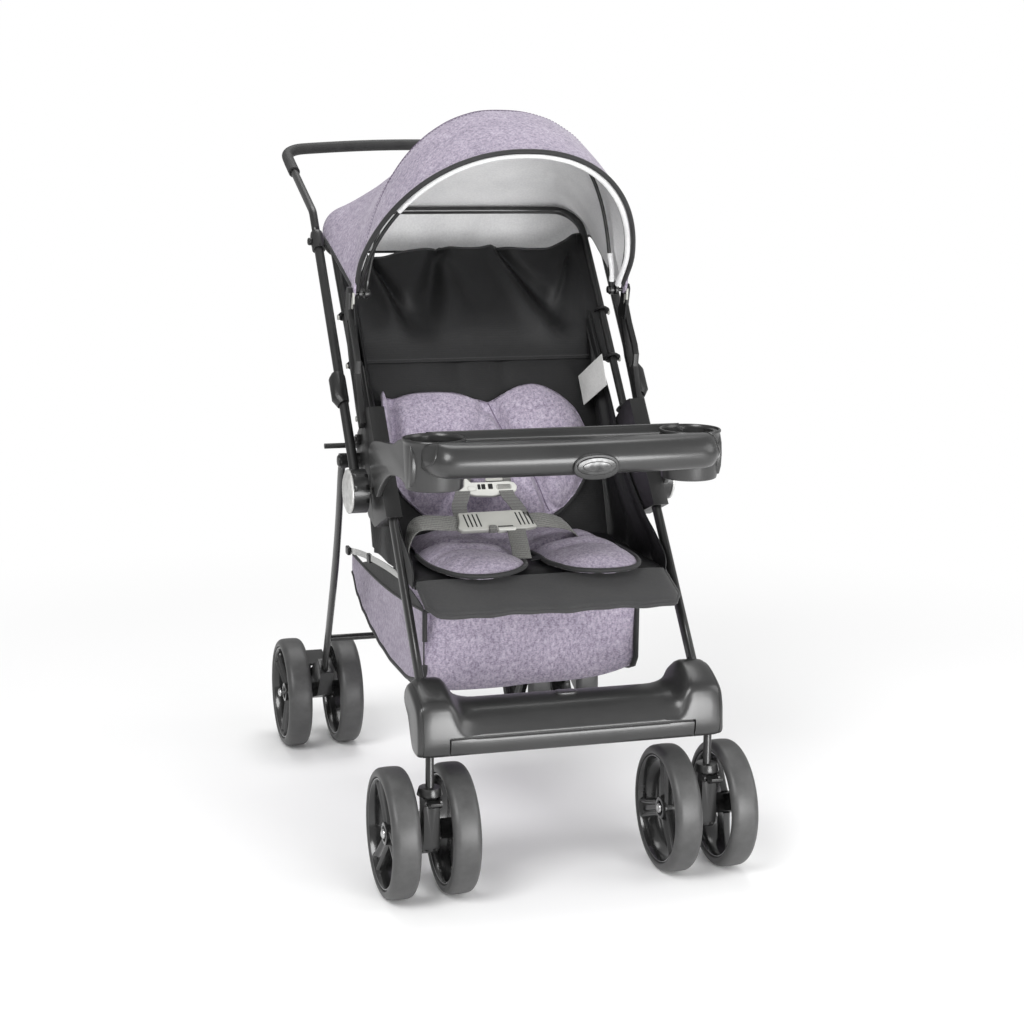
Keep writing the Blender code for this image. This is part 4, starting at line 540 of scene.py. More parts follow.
def rounded_outline(width, height, corner, shift=(0.0, 0.0)):
    """A rectangle with round corners, moved by shift."""
    made = []
    for right, up, start in ((1, 1, 0), (-1, 1, 90), (-1, -1, 180), (1, -1, 270)):
        for k in range(6):
            turn = math.radians(start + 18 * k)
            made.append((right * (width / 2 - corner) + corner * math.cos(turn) + shift[0],
                         up * (height / 2 - corner) + corner * math.sin(turn) + shift[1]))
    return made


def oval_outline(half_width, half_height, power, rise=0.0):
    return [(math.copysign(abs(math.cos(turn)) ** (2 / power), math.cos(turn)) * half_width,
             math.copysign(abs(math.sin(turn)) ** (2 / power), math.sin(turn)) * half_height
             + rise) for turn in turns(48)]


def ring_faces(rings, sides, closed=False, start=0):
    faces = []
    for i in range(rings if closed else rings - 1):
        here, after = start + i * sides, start + ((i + 1) % rings) * sides
        for k in range(sides):
            j = (k + 1) % sides
            faces.append((here + k, here + j, after + j, after + k))
    return faces


def capped(rings):
    """The vertices and faces of a run of rings with both ends closed."""
    count = len(rings[0])
    last = (len(rings) - 1) * count
    ends = [tuple(reversed(range(count))), tuple(range(last, last + count))]
    return [p for ring in rings for p in ring], ring_faces(len(rings), count) + ends


def path_frames(points):
    """A side and an up vector at each place, carried along without twisting."""
    last = len(points) - 1
    side = None
    for i in range(last + 1):
        way = (points[min(i + 1, last)] - points[max(i - 1, 0)]).normalized()
        if side is None:
            side = way.orthogonal().normalized()
        side = (side - way * side.dot(way)).normalized()
        yield side, way.cross(side)


def tube(name, points, radius, finish, body=None, sides=10, flat=1.0):
    """A round or, with flat below 1, an oval cord along points."""
    points = [Vector(p) for p in points]
    rings = [[p + side * (radius * math.cos(turn)) + up * (radius * flat * math.sin(turn))
              for turn in turns(sides)] for p, (side, up) in zip(points, path_frames(points))]
    return make(name, *capped(rings), [finish], body, 60)


def loft(name, rings, finish, body=None, crease=40.0):
    """A solid through closed rings, capped at both ends."""
    item = make(name, *capped(rings), [finish], body, crease)
    outward(item)
    shade(item, crease)
    return item


def spun(name, profile, place, sides, finish, body, crease):
    """A closed outline turned about an axis. place(turn, a, b) gives where (a, b) goes."""
    verts = [place(turn, a, b) for turn in turns(sides) for a, b in profile]
    item = make(name, verts, ring_faces(sides, len(profile), closed=True), [finish], body,
                crease)
    outward(item)
    shade(item, crease)
    return item


def turned(name, profile, centre, finish, body, sides=96, crease=40.0):
    """A closed (x, radius) outline turned about the X axis through centre."""
    return spun(name, profile, lambda turn, x, r: (
        centre[0] + x, centre[1] + r * math.sin(turn), centre[2] - r * math.cos(turn)),
        sides, finish, body, crease)


STITCH_PITCH = 0.0052
STITCH_LENGTH = 0.0032
STITCH_RADIUS = 0.00055


def even_path(points, pitch):
    """The same path with places about pitch apart."""
    lengths = [0.0]
    for a, b in zip(points, points[1:]):
        lengths.append(lengths[-1] + (b - a).length)
    count = max(2, round(lengths[-1] / pitch))
    made, i = [], 0
    for k in range(count + 1):
        reach = lengths[-1] * k / count
        while i < len(points) - 2 and lengths[i + 1] < reach:
            i += 1
        span = lengths[i + 1] - lengths[i]
        made.append(points[i].lerp(points[i + 1], (reach - lengths[i]) / span if span else 0.0))
    return made


def stitches(name, points, finish):
    """A row of thread stitches along a path."""
    verts, faces = [], []
    spots = even_path(points, STITCH_PITCH)
    for a, b in zip(spots, spots[1:]):
        way = (b - a).normalized()
        side = way.orthogonal().normalized()
        up = way.cross(side)
        first = len(verts)
        for share, size in ((-0.5, 0.35), (-0.3, 1.0), (0.3, 1.0), (0.5, 0.35)):
            verts += [(a + b) / 2 + way * (STITCH_LENGTH * share)
                      + (side * math.cos(turn) + up * math.sin(turn)) * (STITCH_RADIUS * size)
                      for turn in turns(6)]
        faces += ring_faces(4, 6, start=first)
        faces.append(tuple(first + k for k in reversed(range(6))))
        faces.append(tuple(first + 18 + k for k in range(6)))
    return make(name, verts, faces, [finish], None, 60)


def grid(high, wide, place):
    """Rows of places, where place(run, share) has both from 0 to 1."""
    return [[place(i / high, k / wide) for k in range(wide + 1)] for i in range(high + 1)]


def two_faced(high, wide):
    """Faces and their kinds for two grids of high by wide places, joined round the edge."""
    shift = high * wide
    faces, kinds = [], []
    for i in range(high - 1):
        for a in range(i * wide, i * wide + wide - 1):
            faces.append((a, a + 1, a + wide + 1, a + wide))
            faces.append((shift + a, shift + a + wide, shift + a + wide + 1, shift + a + 1))
            kinds += [0, 1]
    edge = list(range(wide))
    edge += [wide - 1 + i * wide for i in range(1, high)]
    edge += [(high - 1) * wide + k for k in range(wide - 2, -1, -1)]
    edge += [i * wide for i in range(high - 2, 0, -1)]
    for a, b in zip(edge, edge[1:] + edge[:1]):
        faces.append((a, shift + a, shift + b, b))
        kinds.append(2)
    return faces, kinds


def cloth(name, rows, thickness, finishes, body=None):
    """A sheet with a thickness. rows is a grid of its face; finishes are face, back, edge."""
    back = []
    for i, row in enumerate(rows):
        for k, here in enumerate(row):
            across = row[min(k + 1, len(row) - 1)] - row[max(k - 1, 0)]
            down = rows[min(i + 1, len(rows) - 1)][k] - rows[max(i - 1, 0)][k]
            normal = across.cross(down)
            normal = normal.normalized() if normal.length > 1e-9 else Vector((0, 0, 1))
            back.append(here - normal * thickness)
    faces, kinds = two_faced(len(rows), len(rows[0]))
    return make(name, [p for row in rows for p in row] + back, faces, list(finishes), body, 55,
                kinds)


def ribbon(name, centres, sides, width, thickness, finish, body=None):
    """A flat strap: a rounded rectangle along centres, its width along each of sides."""
    half, deep = width / 2, thickness / 2
    section = [(-half, -deep * 0.5), (-half * 0.97, -deep), (half * 0.97, -deep),
               (half, -deep * 0.5), (half, deep * 0.5), (half * 0.97, deep),
               (-half * 0.97, deep), (-half, deep * 0.5)]
    centres = [Vector(c) for c in centres]
    rings = []
    for i, centre in enumerate(centres):
        way = (centres[min(i + 1, len(centres) - 1)] - centres[max(i - 1, 0)]).normalized()
        side = Vector(sides[i])
        side = (side - way * side.dot(way)).normalized()
        up = way.cross(side)
        rings.append([centre + side * across + up * high for across, high in section])
    return make(name, *capped(rings), [finish], body, 50)


def block(name, outline, low, high, finish, place, bevel, body=None, segments=3):
    """An outline of (a, b) pairs made into a bevelled plate.

    place(a, b, h) gives where a point of it goes, with h running from low to high.
    """
    count = len(outline)
    verts = [place(a, b, h) for h in (low, high) for a, b in outline]
    faces = [tuple(reversed(range(count))), tuple(range(count, 2 * count))]
    faces += [(k, (k + 1) % count, count + (k + 1) % count, count + k) for k in range(count)]
    made = make(name, verts, faces, [finish], body, 40)
    outward(made)
    if bevel:
        modify(made, "BEVEL", width=bevel, segments=segments, limit_method="ANGLE",
               angle_limit=math.radians(28))
        shade(made, 40)
    return made


def facing(centre, normal):
    """A place function for block(): a to the right, b up and h out along normal."""
    out = Vector(normal).normalized()
    right = Vector((0, 0, 1)).cross(out).normalized()
    high = out.cross(right)
    middle = Vector(centre)
    return lambda a, b, h: middle + right * a + high * b + out * h


# Canopy

CANOPY_PIVOT = (0.366, 0.758)
CANOPY_HALF_WIDTH = 0.2005
CANOPY_TIP = 0.013
FRONT_ANGLE = math.radians(41.0)
FRONT_HEIGHT = 0.270
FRONT_SPREAD = 0.0045
FRONT_BOW_X = 0.1925
MID_ANGLE = math.radians(11.0)
MID_HEIGHT = 0.264
MID_SPREAD = -0.0095
MID_BOW_X = 0.1845
BOW_INSIDE = 0.0075     # from the cover to the middle of a bow
BACK_FOOT = (0.2543, 0.500)
BACK_ANGLE = math.radians(49.35)
BACK_X = 0.1945
BACK_SPLAY = 0.0045
BACK_LENGTH = 0.4806
BACK_CORNER = 0.045
SLEEVE_OUT = 0.0114     # from the middle of the back frame's tube to the cover
HEM_BACK = 0.014
HEM_DROP = 0.072
REAR_EDGE_ANGLE = math.radians(-64.0)
COVER_THICKNESS = 0.0022
ARCH_COLUMNS = 108
FRONT_ROWS = 16
REAR_ROWS = 22
HEM_ROWS = 8


def fan_point(angle, x, reach):
    return Vector((x, CANOPY_PIVOT[0] - reach * math.sin(angle),
                   CANOPY_PIVOT[1] + reach * math.cos(angle)))


def arch_point(angle, height, power, spread, share, half=CANOPY_HALF_WIDTH, least=CANOPY_TIP):
    """A place on a flattened arch over the child, from +X at share 0 to -X at 1."""
    c, s = math.cos(math.pi * share), math.sin(math.pi * share)
    reach = max(height * abs(s) ** (2 / power), least)
    wide = 1 + spread * ease((reach - CANOPY_TIP) / 0.06) / half
    return fan_point(angle, half * math.copysign(abs(c) ** (2 / power), c) * wide, reach)


def rear_places():
    """The cover's edge round the outside of the back frame, from +X to -X."""
    tip = fan_point(REAR_EDGE_ANGLE, CANOPY_HALF_WIDTH, CANOPY_TIP)
    corner = []
    for k in range(5):
        turn = math.pi / 2 * k / 4
        x, reach = [far - BACK_CORNER + (BACK_CORNER + SLEEVE_OUT) * part for far, part in (
            (BACK_X + BACK_SPLAY, math.cos(turn)), (BACK_LENGTH, math.sin(turn)))]
        corner.append(Vector((x, *along(BACK_FOOT, BACK_ANGLE, reach))))
    high = corner[-1]
    half = [tip, tip.lerp(corner[0], 0.36), tip.lerp(corner[0], 0.70)] + corner
    half += [Vector((high.x * share, high.y, high.z)) for share in (0.5, 0.0)]
    return half + [Vector((-p.x, p.y, p.z)) for p in reversed(half[:-1])]


REAR_PLACES = rear_places()


def front_row(row, share):
    """Between the front rim (row 0) and the middle bow (row 1)."""
    height = FRONT_HEIGHT + (MID_HEIGHT - FRONT_HEIGHT) * row - 0.0050 * arch_of(row)
    return arch_point(FRONT_ANGLE + (MID_ANGLE - FRONT_ANGLE) * row, height, 2.15 + 0.05 * row,
                      FRONT_SPREAD + (MID_SPREAD - FRONT_SPREAD) * row, share)


def rear_row(row, share):
    """Between the middle bow and the back frame: stretched cloth that sags inwards."""
    a = arch_point(MID_ANGLE, MID_HEIGHT, 2.2, MID_SPREAD, share)
    here = a.lerp(curve_at(REAR_PLACES, share), row)
    shoulder = bump(share, 0.24, 0.12) + bump(share, 0.76, 0.12)
    here.z -= arch_of(row) * (0.006 * arch_of(share) + 0.013 * shoulder)
    here.x -= math.copysign(arch_of(row) * 0.010 * shoulder, here.x)
    return here


def hem_row(row, share):
    hang = ease((min(share, 1 - share) * 18 - 2.5) / 3.5)
    ripple = 0.0022 * math.sin(share * math.pi * 15 + 0.6) * row * hang
    return curve_at(REAR_PLACES, share) + Vector((
        0.0, (HEM_BACK * math.sin(math.pi / 2 * row) + ripple) * hang, -HEM_DROP * row * hang))


def canopy_place(row, share):
    """row runs from 0 at the rim through 1 and 2 to 3 at the hem's lower edge."""
    part = min(int(math.ceil(row)) - 1, 2) if row > 0 else 0
    here = (front_row, rear_row, hem_row)[part](row - part, share)
    out = here - Vector((here.x, *CANOPY_PIVOT))
    reach = out.length
    free = math.sin(math.pi * row / 2) ** 0.5 if row < 2 else 0.0
    soft = 0.0016 * cloud(here, 0.085, 3.1) + 0.0007 * cloud(here, 0.030, 7.7)
    tip = 0.0016 * math.sin(math.atan2(out.y, out.z) * 9.0) * bump(reach, 0.075, 0.045)
    away = Vector((math.copysign(1.0, here.x), 0, 0)) * (1 - ease(reach / 0.16))
    away += out.normalized() * ease(reach / 0.16)
    fold = -0.0020 * bump(row, 1.0, 0.030) if 0.02 < share < 0.98 else 0.0
    return here + away * ((soft + tip) * free + fold)


def canopy():
    rows = [k / FRONT_ROWS for k in range(FRONT_ROWS)]
    rows += [1 + k / REAR_ROWS for k in range(REAR_ROWS)]
    rows += [2 + k / HEM_ROWS for k in range(HEM_ROWS + 1)]
    places = [[canopy_place(row, k / ARCH_COLUMNS) for k in range(ARCH_COLUMNS + 1)]
              for row in rows]
    cover = cloth("canopy_cover_cloth", [list(reversed(row)) for row in places],
                  COVER_THICKNESS, (LILAC, LINING, PIPING))
    trims = [
        tube("canopy_rim_binding", [p + Vector((0, -0.0008, -0.0008)) for p in places[0]],
             0.0036, PIPING, sides=12),
        tube("canopy_edge_binding", places[-1], 0.0026, PIPING),
        tube("canopy_mid_seam", places[FRONT_ROWS][3:-3], 0.0010, LILAC_SEAM, sides=6),
    ]
    for name, row in (("canopy_stitch_a", 0.94), ("canopy_stitch_b", 1.05)):
        path = [canopy_place(row, k / ARCH_COLUMNS) for k in range(3, ARCH_COLUMNS - 2)]
        trims.append(stitches(name, lift(path, 0.0002), LILAC_SEAM))
    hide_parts("canopy_cover")
    for item in [cover] + trims:
        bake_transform(item)


def lift(points, amount):
    """Move places away from the canopy's pivot line by amount."""
    made = []
    for p in points:
        out = Vector((0, p.y - CANOPY_PIVOT[0], p.z - CANOPY_PIVOT[1]))
        made.append(p + out.normalized() * amount)
    return made


FRONT_BOW = (FRONT_ANGLE, FRONT_HEIGHT, FRONT_BOW_X, 2.15, 0.0040)
MID_BOW = (MID_ANGLE, MID_HEIGHT, MID_BOW_X, 2.2, -0.0050)


def bow_path(bow, start, stop):
    """The middle line of a bow, over part of its length."""
    angle, height, half, power, spread = bow
    return [arch_point(angle, height - BOW_INSIDE, power, spread,
                       start + (stop - start) * k / 90, half, 0.0) for k in range(91)]


def bow_pockets():
    """The lining's pockets round the two bows. The middle one is open beside the child's head."""
    for name, bow, start, stop, body in (
            ("bow_pocket_middle", MID_BOW, 0.250, 0.82, "canopy_mid"),
            ("bow_pocket_low", MID_BOW, 0.012, 0.060, "canopy_mid"),
            ("bow_pocket_front", FRONT_BOW, 0.010, 0.80, "canopy_front")):
        tube(name, bow_path(bow, start, stop), 0.0046, LINING, body, flat=0.9)


def canopy_tips():
    """The rounded cloth ends, webbing tabs and clips where the canopy meets its stays."""
    for side, sign in SIDES:
        x = sign * 0.2030
        end = block(f"canopy_end_{side}", rounded_outline(0.0190, 0.0300, 0.0080), -0.0016,
                    0.0016, LILAC, lambda a, b, h: Vector((
                        x + h, CANOPY_PIVOT[0] - 0.007 + a - b * 0.30,
                        CANOPY_PIVOT[1] + 0.010 + b)), 0.0007, "canopy_front")
        spots = [Vector((x + sign * out, y, z)) for out, y, z in (
            (0.0006, 0.360, 0.766), (0.0012, 0.357, 0.742), (-0.0004, 0.356, 0.715))]
        tab = ribbon(f"canopy_tab_{side}", smooth_path(spots, 10), [(0, 1, 0)] * 11, 0.0085,
                     0.0014, BLACK_CLOTH, "frame")
        for k, (y, z) in enumerate(((0.3540, 0.752), (0.3600, 0.745))):
            clip = block(f"canopy_clip_{side}_{k}", rounded_outline(0.0055, 0.0170, 0.0020),
                         -0.001, 0.0022, BUCKLE_PLASTIC, lambda a, b, h: Vector((
                             x + sign * (0.0014 + h), y + a - b * 0.1, z + b)), 0.0008, "frame")


def lining_slit():
    """The edge of the opening in the lining, on the child's left."""
    bow = (MID_ANGLE, MID_HEIGHT - 0.001, MID_BOW_X - 0.0012, 2.2, -0.0050)
    item = tube("lining_slit", lift(bow_path(bow, 0.055, 0.255), -0.0022), 0.0013, PIPING,
                "canopy_mid", sides=6)


# Seat tub: back panel, curtain, side wings, base and calf panel

HINGE = (0.3450, 0.4010)
BACK_TOP = (0.5030, 0.8180)
BACK_WAY = heading(HINGE, BACK_TOP)
BACK_REACH = math.dist(HINGE, BACK_TOP)
BACK_HALF = 0.1755
SEAM_AT = 0.266
BOARD_FRONT = 0.0085
SEAT_TOP = 0.403
SEAT_FRONT = 0.100
SEAT_REAR = 0.348
WING_X = 0.1790
WING_TOP = 0.335
CURTAIN_SPOTS = (-0.176, -0.052, 0.034, 0.176)    # where the curtain's upper edge is caught
# start (x, reach), end, width, depth of the valley, height of the ridge beside it
CURTAIN_FOLDS = (((-0.052, 0.446), (-0.155, 0.285), 0.020, 0.0180, 0.0120),
                 ((0.034, 0.446), (0.082, 0.280), 0.018, 0.0160, -0.0100),
                 ((0.148, 0.430), (0.088, 0.300), 0.014, 0.0150, 0.0110),
                 ((0.034, 0.446), (-0.010, 0.330), 0.018, 0.0055, 0.0040),
                 ((-0.165, 0.430), (-0.120, 0.300), 0.014, 0.0090, 0.0070))


def on_back(x, reach, out):
    """A place on the reclining back: reach up from its hinge, out towards the child."""
    return Vector((x, *beside(along(HINGE, BACK_WAY, reach), BACK_WAY, out)))


def tube_line(distance, offset):
    """A side-view place beside the back frame's tube."""
    return beside(along(BACK_FOOT, BACK_ANGLE, distance), BACK_ANGLE, offset)


def line_distance(x, y, a, b):
    """How far (x, y) is to the side of the line from a to b, and its share along it."""
    way = Vector(b) - Vector(a)
    from_a = Vector((x, y)) - Vector(a)
    share = min(max(from_a.dot(way) / way.length_squared, 0.0), 1.0)
    side = way.x * from_a.y - way.y * from_a.x
    return math.copysign((from_a - way * share).length, side), share


def pulled(x, reach, a, b, width, depth, ridge):
    """A fold from a (pinched) to b (fading): a valley with a soft ridge beside it."""
    gap, share = line_distance(x, reach, a, b)
    spread = width * (0.45 + 0.9 * share)
    fade = (1 - ease((share - 0.55) / 0.45)) * (1.0 if share > 0 else 0.7)
    return fade * (ridge * bump(gap, spread * 1.1, spread) - depth * bump(gap, 0.0, spread))


def curtain_out(x, reach):
    """How far the curtain stands forward of the board's plane, which it leaves at its top."""
    folds = sum(pulled(x, reach, *fold) for fold in CURTAIN_FOLDS)
    billow = 0.0040 * arch_of(min(max((reach - SEAM_AT) / 0.18, 0), 1))
    soft = 0.0016 * cloud((x, reach, 0), 0.06, 1.3)
    return ease((reach - SEAM_AT) / 0.05) * (folds + billow + soft) \
        - 0.024 * ease((reach - 0.30) / 0.15)


def top_edge(x):
    """The curtain's upper edge: caught at four points and sagging between them."""
    sag = 0.0
    for a, b in zip(CURTAIN_SPOTS, CURTAIN_SPOTS[1:]):
        if a <= x <= b:
            sag = 0.055 * (b - a) * arch_of((x - a) / (b - a)) ** 0.8
    corner = 0.006 * ease((abs(x) - 0.16) / 0.02) + (0.010 * ease((-x - 0.13) / 0.04))
    return BACK_REACH + 0.001 - sag - 0.012 * bump(x, 0.135, 0.03) + corner


def back_panel():
    """The padded board behind the child, under its seam."""
    def place(run, share):
        reach = -0.012 + (SEAM_AT + 0.012) * run
        x = BACK_HALF * (-1 + 2 * share)
        puff = 0.0035 * (1 - (x / BACK_HALF) ** 6) * abs(arch_of(run)) ** 0.5
        crease = -0.0030 * (bump(x, 0.035, 0.012) + bump(x, -0.035, 0.012))
        crease *= ease((reach - 0.16) / 0.10)
        soft = 0.0012 * cloud((x, reach, 1.0), 0.05, 4.0)
        return on_back(x, reach, BOARD_FRONT + puff + crease + soft)

    board = cloth("back_board_cover", grid(33, 60, place), 0.0150, ALL_BLACK, "back")
    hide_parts("backrest")
    tube("back_seam_piping", [on_back(x * BACK_HALF / 40, SEAM_AT + 0.001, BOARD_FRONT + 0.0010)
                              for x in range(-40, 41)], 0.0020, PIPING, "back", sides=8)


def curtain():
    """The loose cloth from the board's seam up to the back frame and round to its posts."""
    high, wide, flap = 44, 96, 7
    rows = []
    for i in range(high + 1):
        share = i / high
        half = BACK_HALF + 0.004 * ease((share - 0.45) / 0.5)
        row = []
        for k in range(wide + 1):
            x = (-1 + 2 * k / wide) * half
            reach = SEAM_AT - 0.004 + (top_edge(x) - SEAM_AT + 0.004) * share
            row.append(on_back(-x, reach, BOARD_FRONT + 0.001 + curtain_out(x, reach)))
        for edge, sign in ((row[0], 1), (row[-1], -1)):
            low = (edge.z - BACK_FOOT[1]) / math.sin(BACK_ANGLE)
            post = Vector((sign * (BACK_X - 0.0010), *tube_line(low, 0.0)))
            side = []
            for run in [k / flap for k in range(1, flap + 1)]:
                fold = 0.0030 * arch_of(run) * (1 + 0.6 * math.sin(9 * share + sign))
                side.append(edge.lerp(post, run) + Vector((-sign * fold, 0, 0)))
            row = list(reversed(side)) + row if sign > 0 else row + side
        rows.append(row)
    sheet = cloth("back_curtain", rows, 0.0018, ALL_BLACK)
    hem = tube("back_curtain_hem", rows[-1], 0.0024, PIPING, sides=8)
    threads = stitches("back_curtain_stitch",
                       [p + Vector((0, -0.0006, -0.0003)) for p in rows[-3]], LILAC_SEAM)
    for item in (sheet, hem, threads):
        shifted(on_back(0, 0.30, 0))
        shifted(on_back(0, 0.435, 0))
        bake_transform(item)
    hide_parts("backrest")


def wing(side, sign):
    """A side of the tub, gathered in soft pleats from the back frame to the board."""
    front = [(SEAT_FRONT + 0.004, SEAT_TOP - 0.016), (SEAT_FRONT + 0.010, SEAT_TOP + 0.014),
             (0.188, 0.458)] + [tube_line(far, -0.003) for far in (0.020, 0.110, 0.200, 0.292)]
    front = [Vector((0, *p)) for p in front]

    def place(share, run):
        here = curve_at(front, share).lerp(
            on_back(0, -0.006, -0.003).lerp(on_back(0, WING_TOP, -0.003), share), run)
        middle = max(arch_of(run), 0.0)
        pleat = 0.0060 * math.sin(2 * math.pi * (2.6 * run + 0.15 * math.sin(4 * share)))
        pleat *= middle ** 0.7 * (0.35 + 0.65 * share)
        deep = 0.0075 * middle * max(arch_of(min(share * 1.15, 1)), 0.0) ** 0.7
        soft = 0.0014 * cloud((here.y, here.z, sign), 0.05, 2.2)
        reach = max(0.0, deep + pleat + soft) if 0 < run < 1 else 0.0
        here.x = sign * (WING_X - reach)
        return here

    rows = grid(46, 54, place)
    if sign > 0:
        rows = [list(reversed(row)) for row in rows]
    sheet = cloth(f"side_wing_{side}", rows, 0.0016, ALL_BLACK)
    shifted(on_back(0, 0.1, 0.022))
    shifted(on_back(0, 0.1, 0.006))
    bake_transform(sheet)
    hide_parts("seat_shell")


def seat_base():
    """The seat's own thin padding, under the loose cushion."""
    def place(share, across):
        y = SEAT_FRONT + 0.006 + (SEAT_REAR - SEAT_FRONT - 0.006) * share
        u = -1 + 2 * across
        edge = (1 - abs(u) ** 8) ** 0.5 * (1 - abs(2 * share - 1) ** 10) ** 0.5
        soft = 0.0008 * cloud((u, y, 0), 0.04, 5.0)
        return Vector((u * 0.1775, y, SEAT_TOP - 0.006 + (0.0060 + soft) * edge))

    base = cloth("seat_base", grid(24, 40, place), 0.0120, ALL_BLACK, "frame")
    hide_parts("seat_shell")


CALF_HINGE = (0.0990, 0.3940)
CALF_END = (0.0234, 0.3661)
CALF_HALF = 0.1756
CALF_WAY = heading(CALF_HINGE, CALF_END)
CALF_REACH = math.dist(CALF_HINGE, CALF_END)


def calf_panel():
    """A thin padded board in smooth cloth, with bound edges and rounded front corners."""
    def face(run, share, upper):
        u = -1 + 2 * share
        corner = 0.020 * ease((abs(u) - 0.90) / 0.10) ** 2
        wave = 0.0016 * math.sin(9.0 * u + 1.0) + 0.0012 * math.sin(21.0 * u)
        reach = -0.004 + (CALF_REACH - corner + wave + 0.004) * run
        edge = (1 - abs(u) ** 14) ** 0.5 * (1 - abs(2 * run - 1) ** 12) ** 0.5
        thick = 0.0020 + 0.0046 * edge
        out = thick + 0.0006 * cloud((u * 0.17, reach, 2.0), 0.035, 6.0) * edge
        return Vector((u * CALF_HALF, *beside(along(CALF_HINGE, CALF_WAY, reach), CALF_WAY,
                                              -out if upper else thick)))

    high, wide = 26, 72
    upper, lower = [grid(high, wide, lambda run, share: face(run, share, top))
                    for top in (True, False)]
    faces, _ = two_faced(high + 1, wide + 1)
    panel = make("calf_panel_cover", [p for row in upper + lower for p in row], faces,
                 [CALF_CLOTH], "legrest", 60)
    outward(panel)
    bound = [(i, 0) for i in range(3, high + 1)] + [(high, k) for k in range(1, wide + 1)]
    bound += [(i, wide) for i in range(high - 1, 2, -1)]
    tube("calf_panel_binding", [(upper[i][k] + lower[i][k]) / 2 for i, k in bound], 0.0030,
         CALF_CLOTH, "legrest", sides=8)
    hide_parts("legrest")


# Loose cushions, blown up by cloth simulation and then sewn down along their seams

PAD_VOXEL = 0.0052
PAD_FRAMES = 20
PAD_CLOTH = {"quality": 6, "mass": 0.15, "tension_stiffness": 12.0,
             "compression_stiffness": 10.0, "bending_stiffness": 0.6, "use_pressure": True,
             "vertex_group_mass": "held"}


def inside_distance(p, outline):
    best = 1.0
    for a, b in zip(outline, outline[1:] + outline[:1]):
        way = b - a
        share = min(max((p - a).dot(way) / max(way.length_squared, 1e-12), 0.0), 1.0)
        best = min(best, (p - a - way * share).length)
    return best


def flat_pad(name, outline, thickness):
    """A thin flat slab with the pad's outline, remeshed into even faces."""
    count = len(outline)
    verts = [(p.x, p.y, h) for h in (0.0, thickness) for p in outline]
    faces = [tuple(reversed(range(count))), tuple(range(count, 2 * count))]
    faces += [(k, (k + 1) % count, count + (k + 1) % count, count + k) for k in range(count)]
    mesh = bpy.data.meshes.new(name)
    mesh.from_pydata(verts, [], faces)
    item = put_in_scene(bpy.data.objects.new(name, mesh))
    outward(item)
    modify(item, "REMESH", mode="VOXEL", voxel_size=PAD_VOXEL, adaptivity=0.0)
    return item


def inflate(item, pressure, cap):
    """Blow the slab up with the face that it lies on held, and cap how far it may move."""
    mesh = item.data
    rest = [v.co.copy() for v in mesh.vertices]
    held = item.vertex_groups.new(name="held")
    low = min(p.z for p in rest)
    held.add([i for i, p in enumerate(rest) if p.z < low + PAD_VOXEL * 0.4], 1.0, "REPLACE")
    mod = item.modifiers.new("cloth", "CLOTH")
    for key, value in PAD_CLOTH.items():
        setattr(mod.settings, key, value)
    mod.settings.uniform_pressure_force = pressure
    mod.settings.effector_weights.gravity = 0.0
    mod.collision_settings.use_collision = False
    mod.point_cache.frame_start, mod.point_cache.frame_end = 1, PAD_FRAMES
    scene = bpy.context.scene
    for number in range(1, PAD_FRAMES + 1):
        scene.frame_set(number)
    graph = bpy.context.evaluated_depsgraph_get()
    made = bpy.data.meshes.new_from_object(item.evaluated_get(graph))
    scene.frame_set(1)
    item.modifiers.clear()
    item.vertex_groups.clear()
    for v, p in zip(made.vertices, rest):
        move = v.co - p
        if move.length > cap:
            v.co = p + move.normalized() * cap
    item.data = made
    bpy.data.meshes.remove(mesh)


def sew(item, outline, thickness, seams, crown, wrap, rumple):
    """Give the slab its crown, press in its seams, and lay it where it belongs."""
    modify(item, "SUBSURF", levels=1, render_levels=1)
    mesh = item.data
    for v in mesh.vertices:
        high = v.co.z
        if high > thickness * 0.5:
            p = Vector((v.co.x, v.co.y))
            full = (1 - (1 - min(inside_distance(p, outline) / crown, 1.0)) ** 2) ** 0.5
            high = high * (0.34 + 0.66 * full)
            for path, width, depth in seams:
                gap = min(abs(line_distance(p.x, p.y, a, b)[0])
                          for a, b in zip(path, path[1:]))
                high -= depth * bump(gap, 0.0, width) * min(full * 1.6, 1.0)
            high += rumple * cloud((p.x, p.y * 0.5, 0), 0.028, 9.0) * full
            high = max(high, 0.003)
        v.co = shifted(wrap(v.co.x, v.co.y, high))
    mesh.materials.clear()
    mesh.materials.append(LILAC)
    mesh.update()
    outward(item)
    shade(item, 70)


def pad(name, corners, thickness, pressure, cap, seams, crown, wrap, body, rumple):
    """A stuffed pad and its outline. seams are (path, width, depth) in the pad's own measure.

    wrap(x, y, h) turns that measure into a place.
    """
    outline = outline_points(corners, 5)
    item = flat_pad(name, outline, thickness)
    inflate(item, pressure, cap)
    sew(item, outline, thickness, seams, crown, wrap, rumple)
    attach(item, body)
    return item, outline


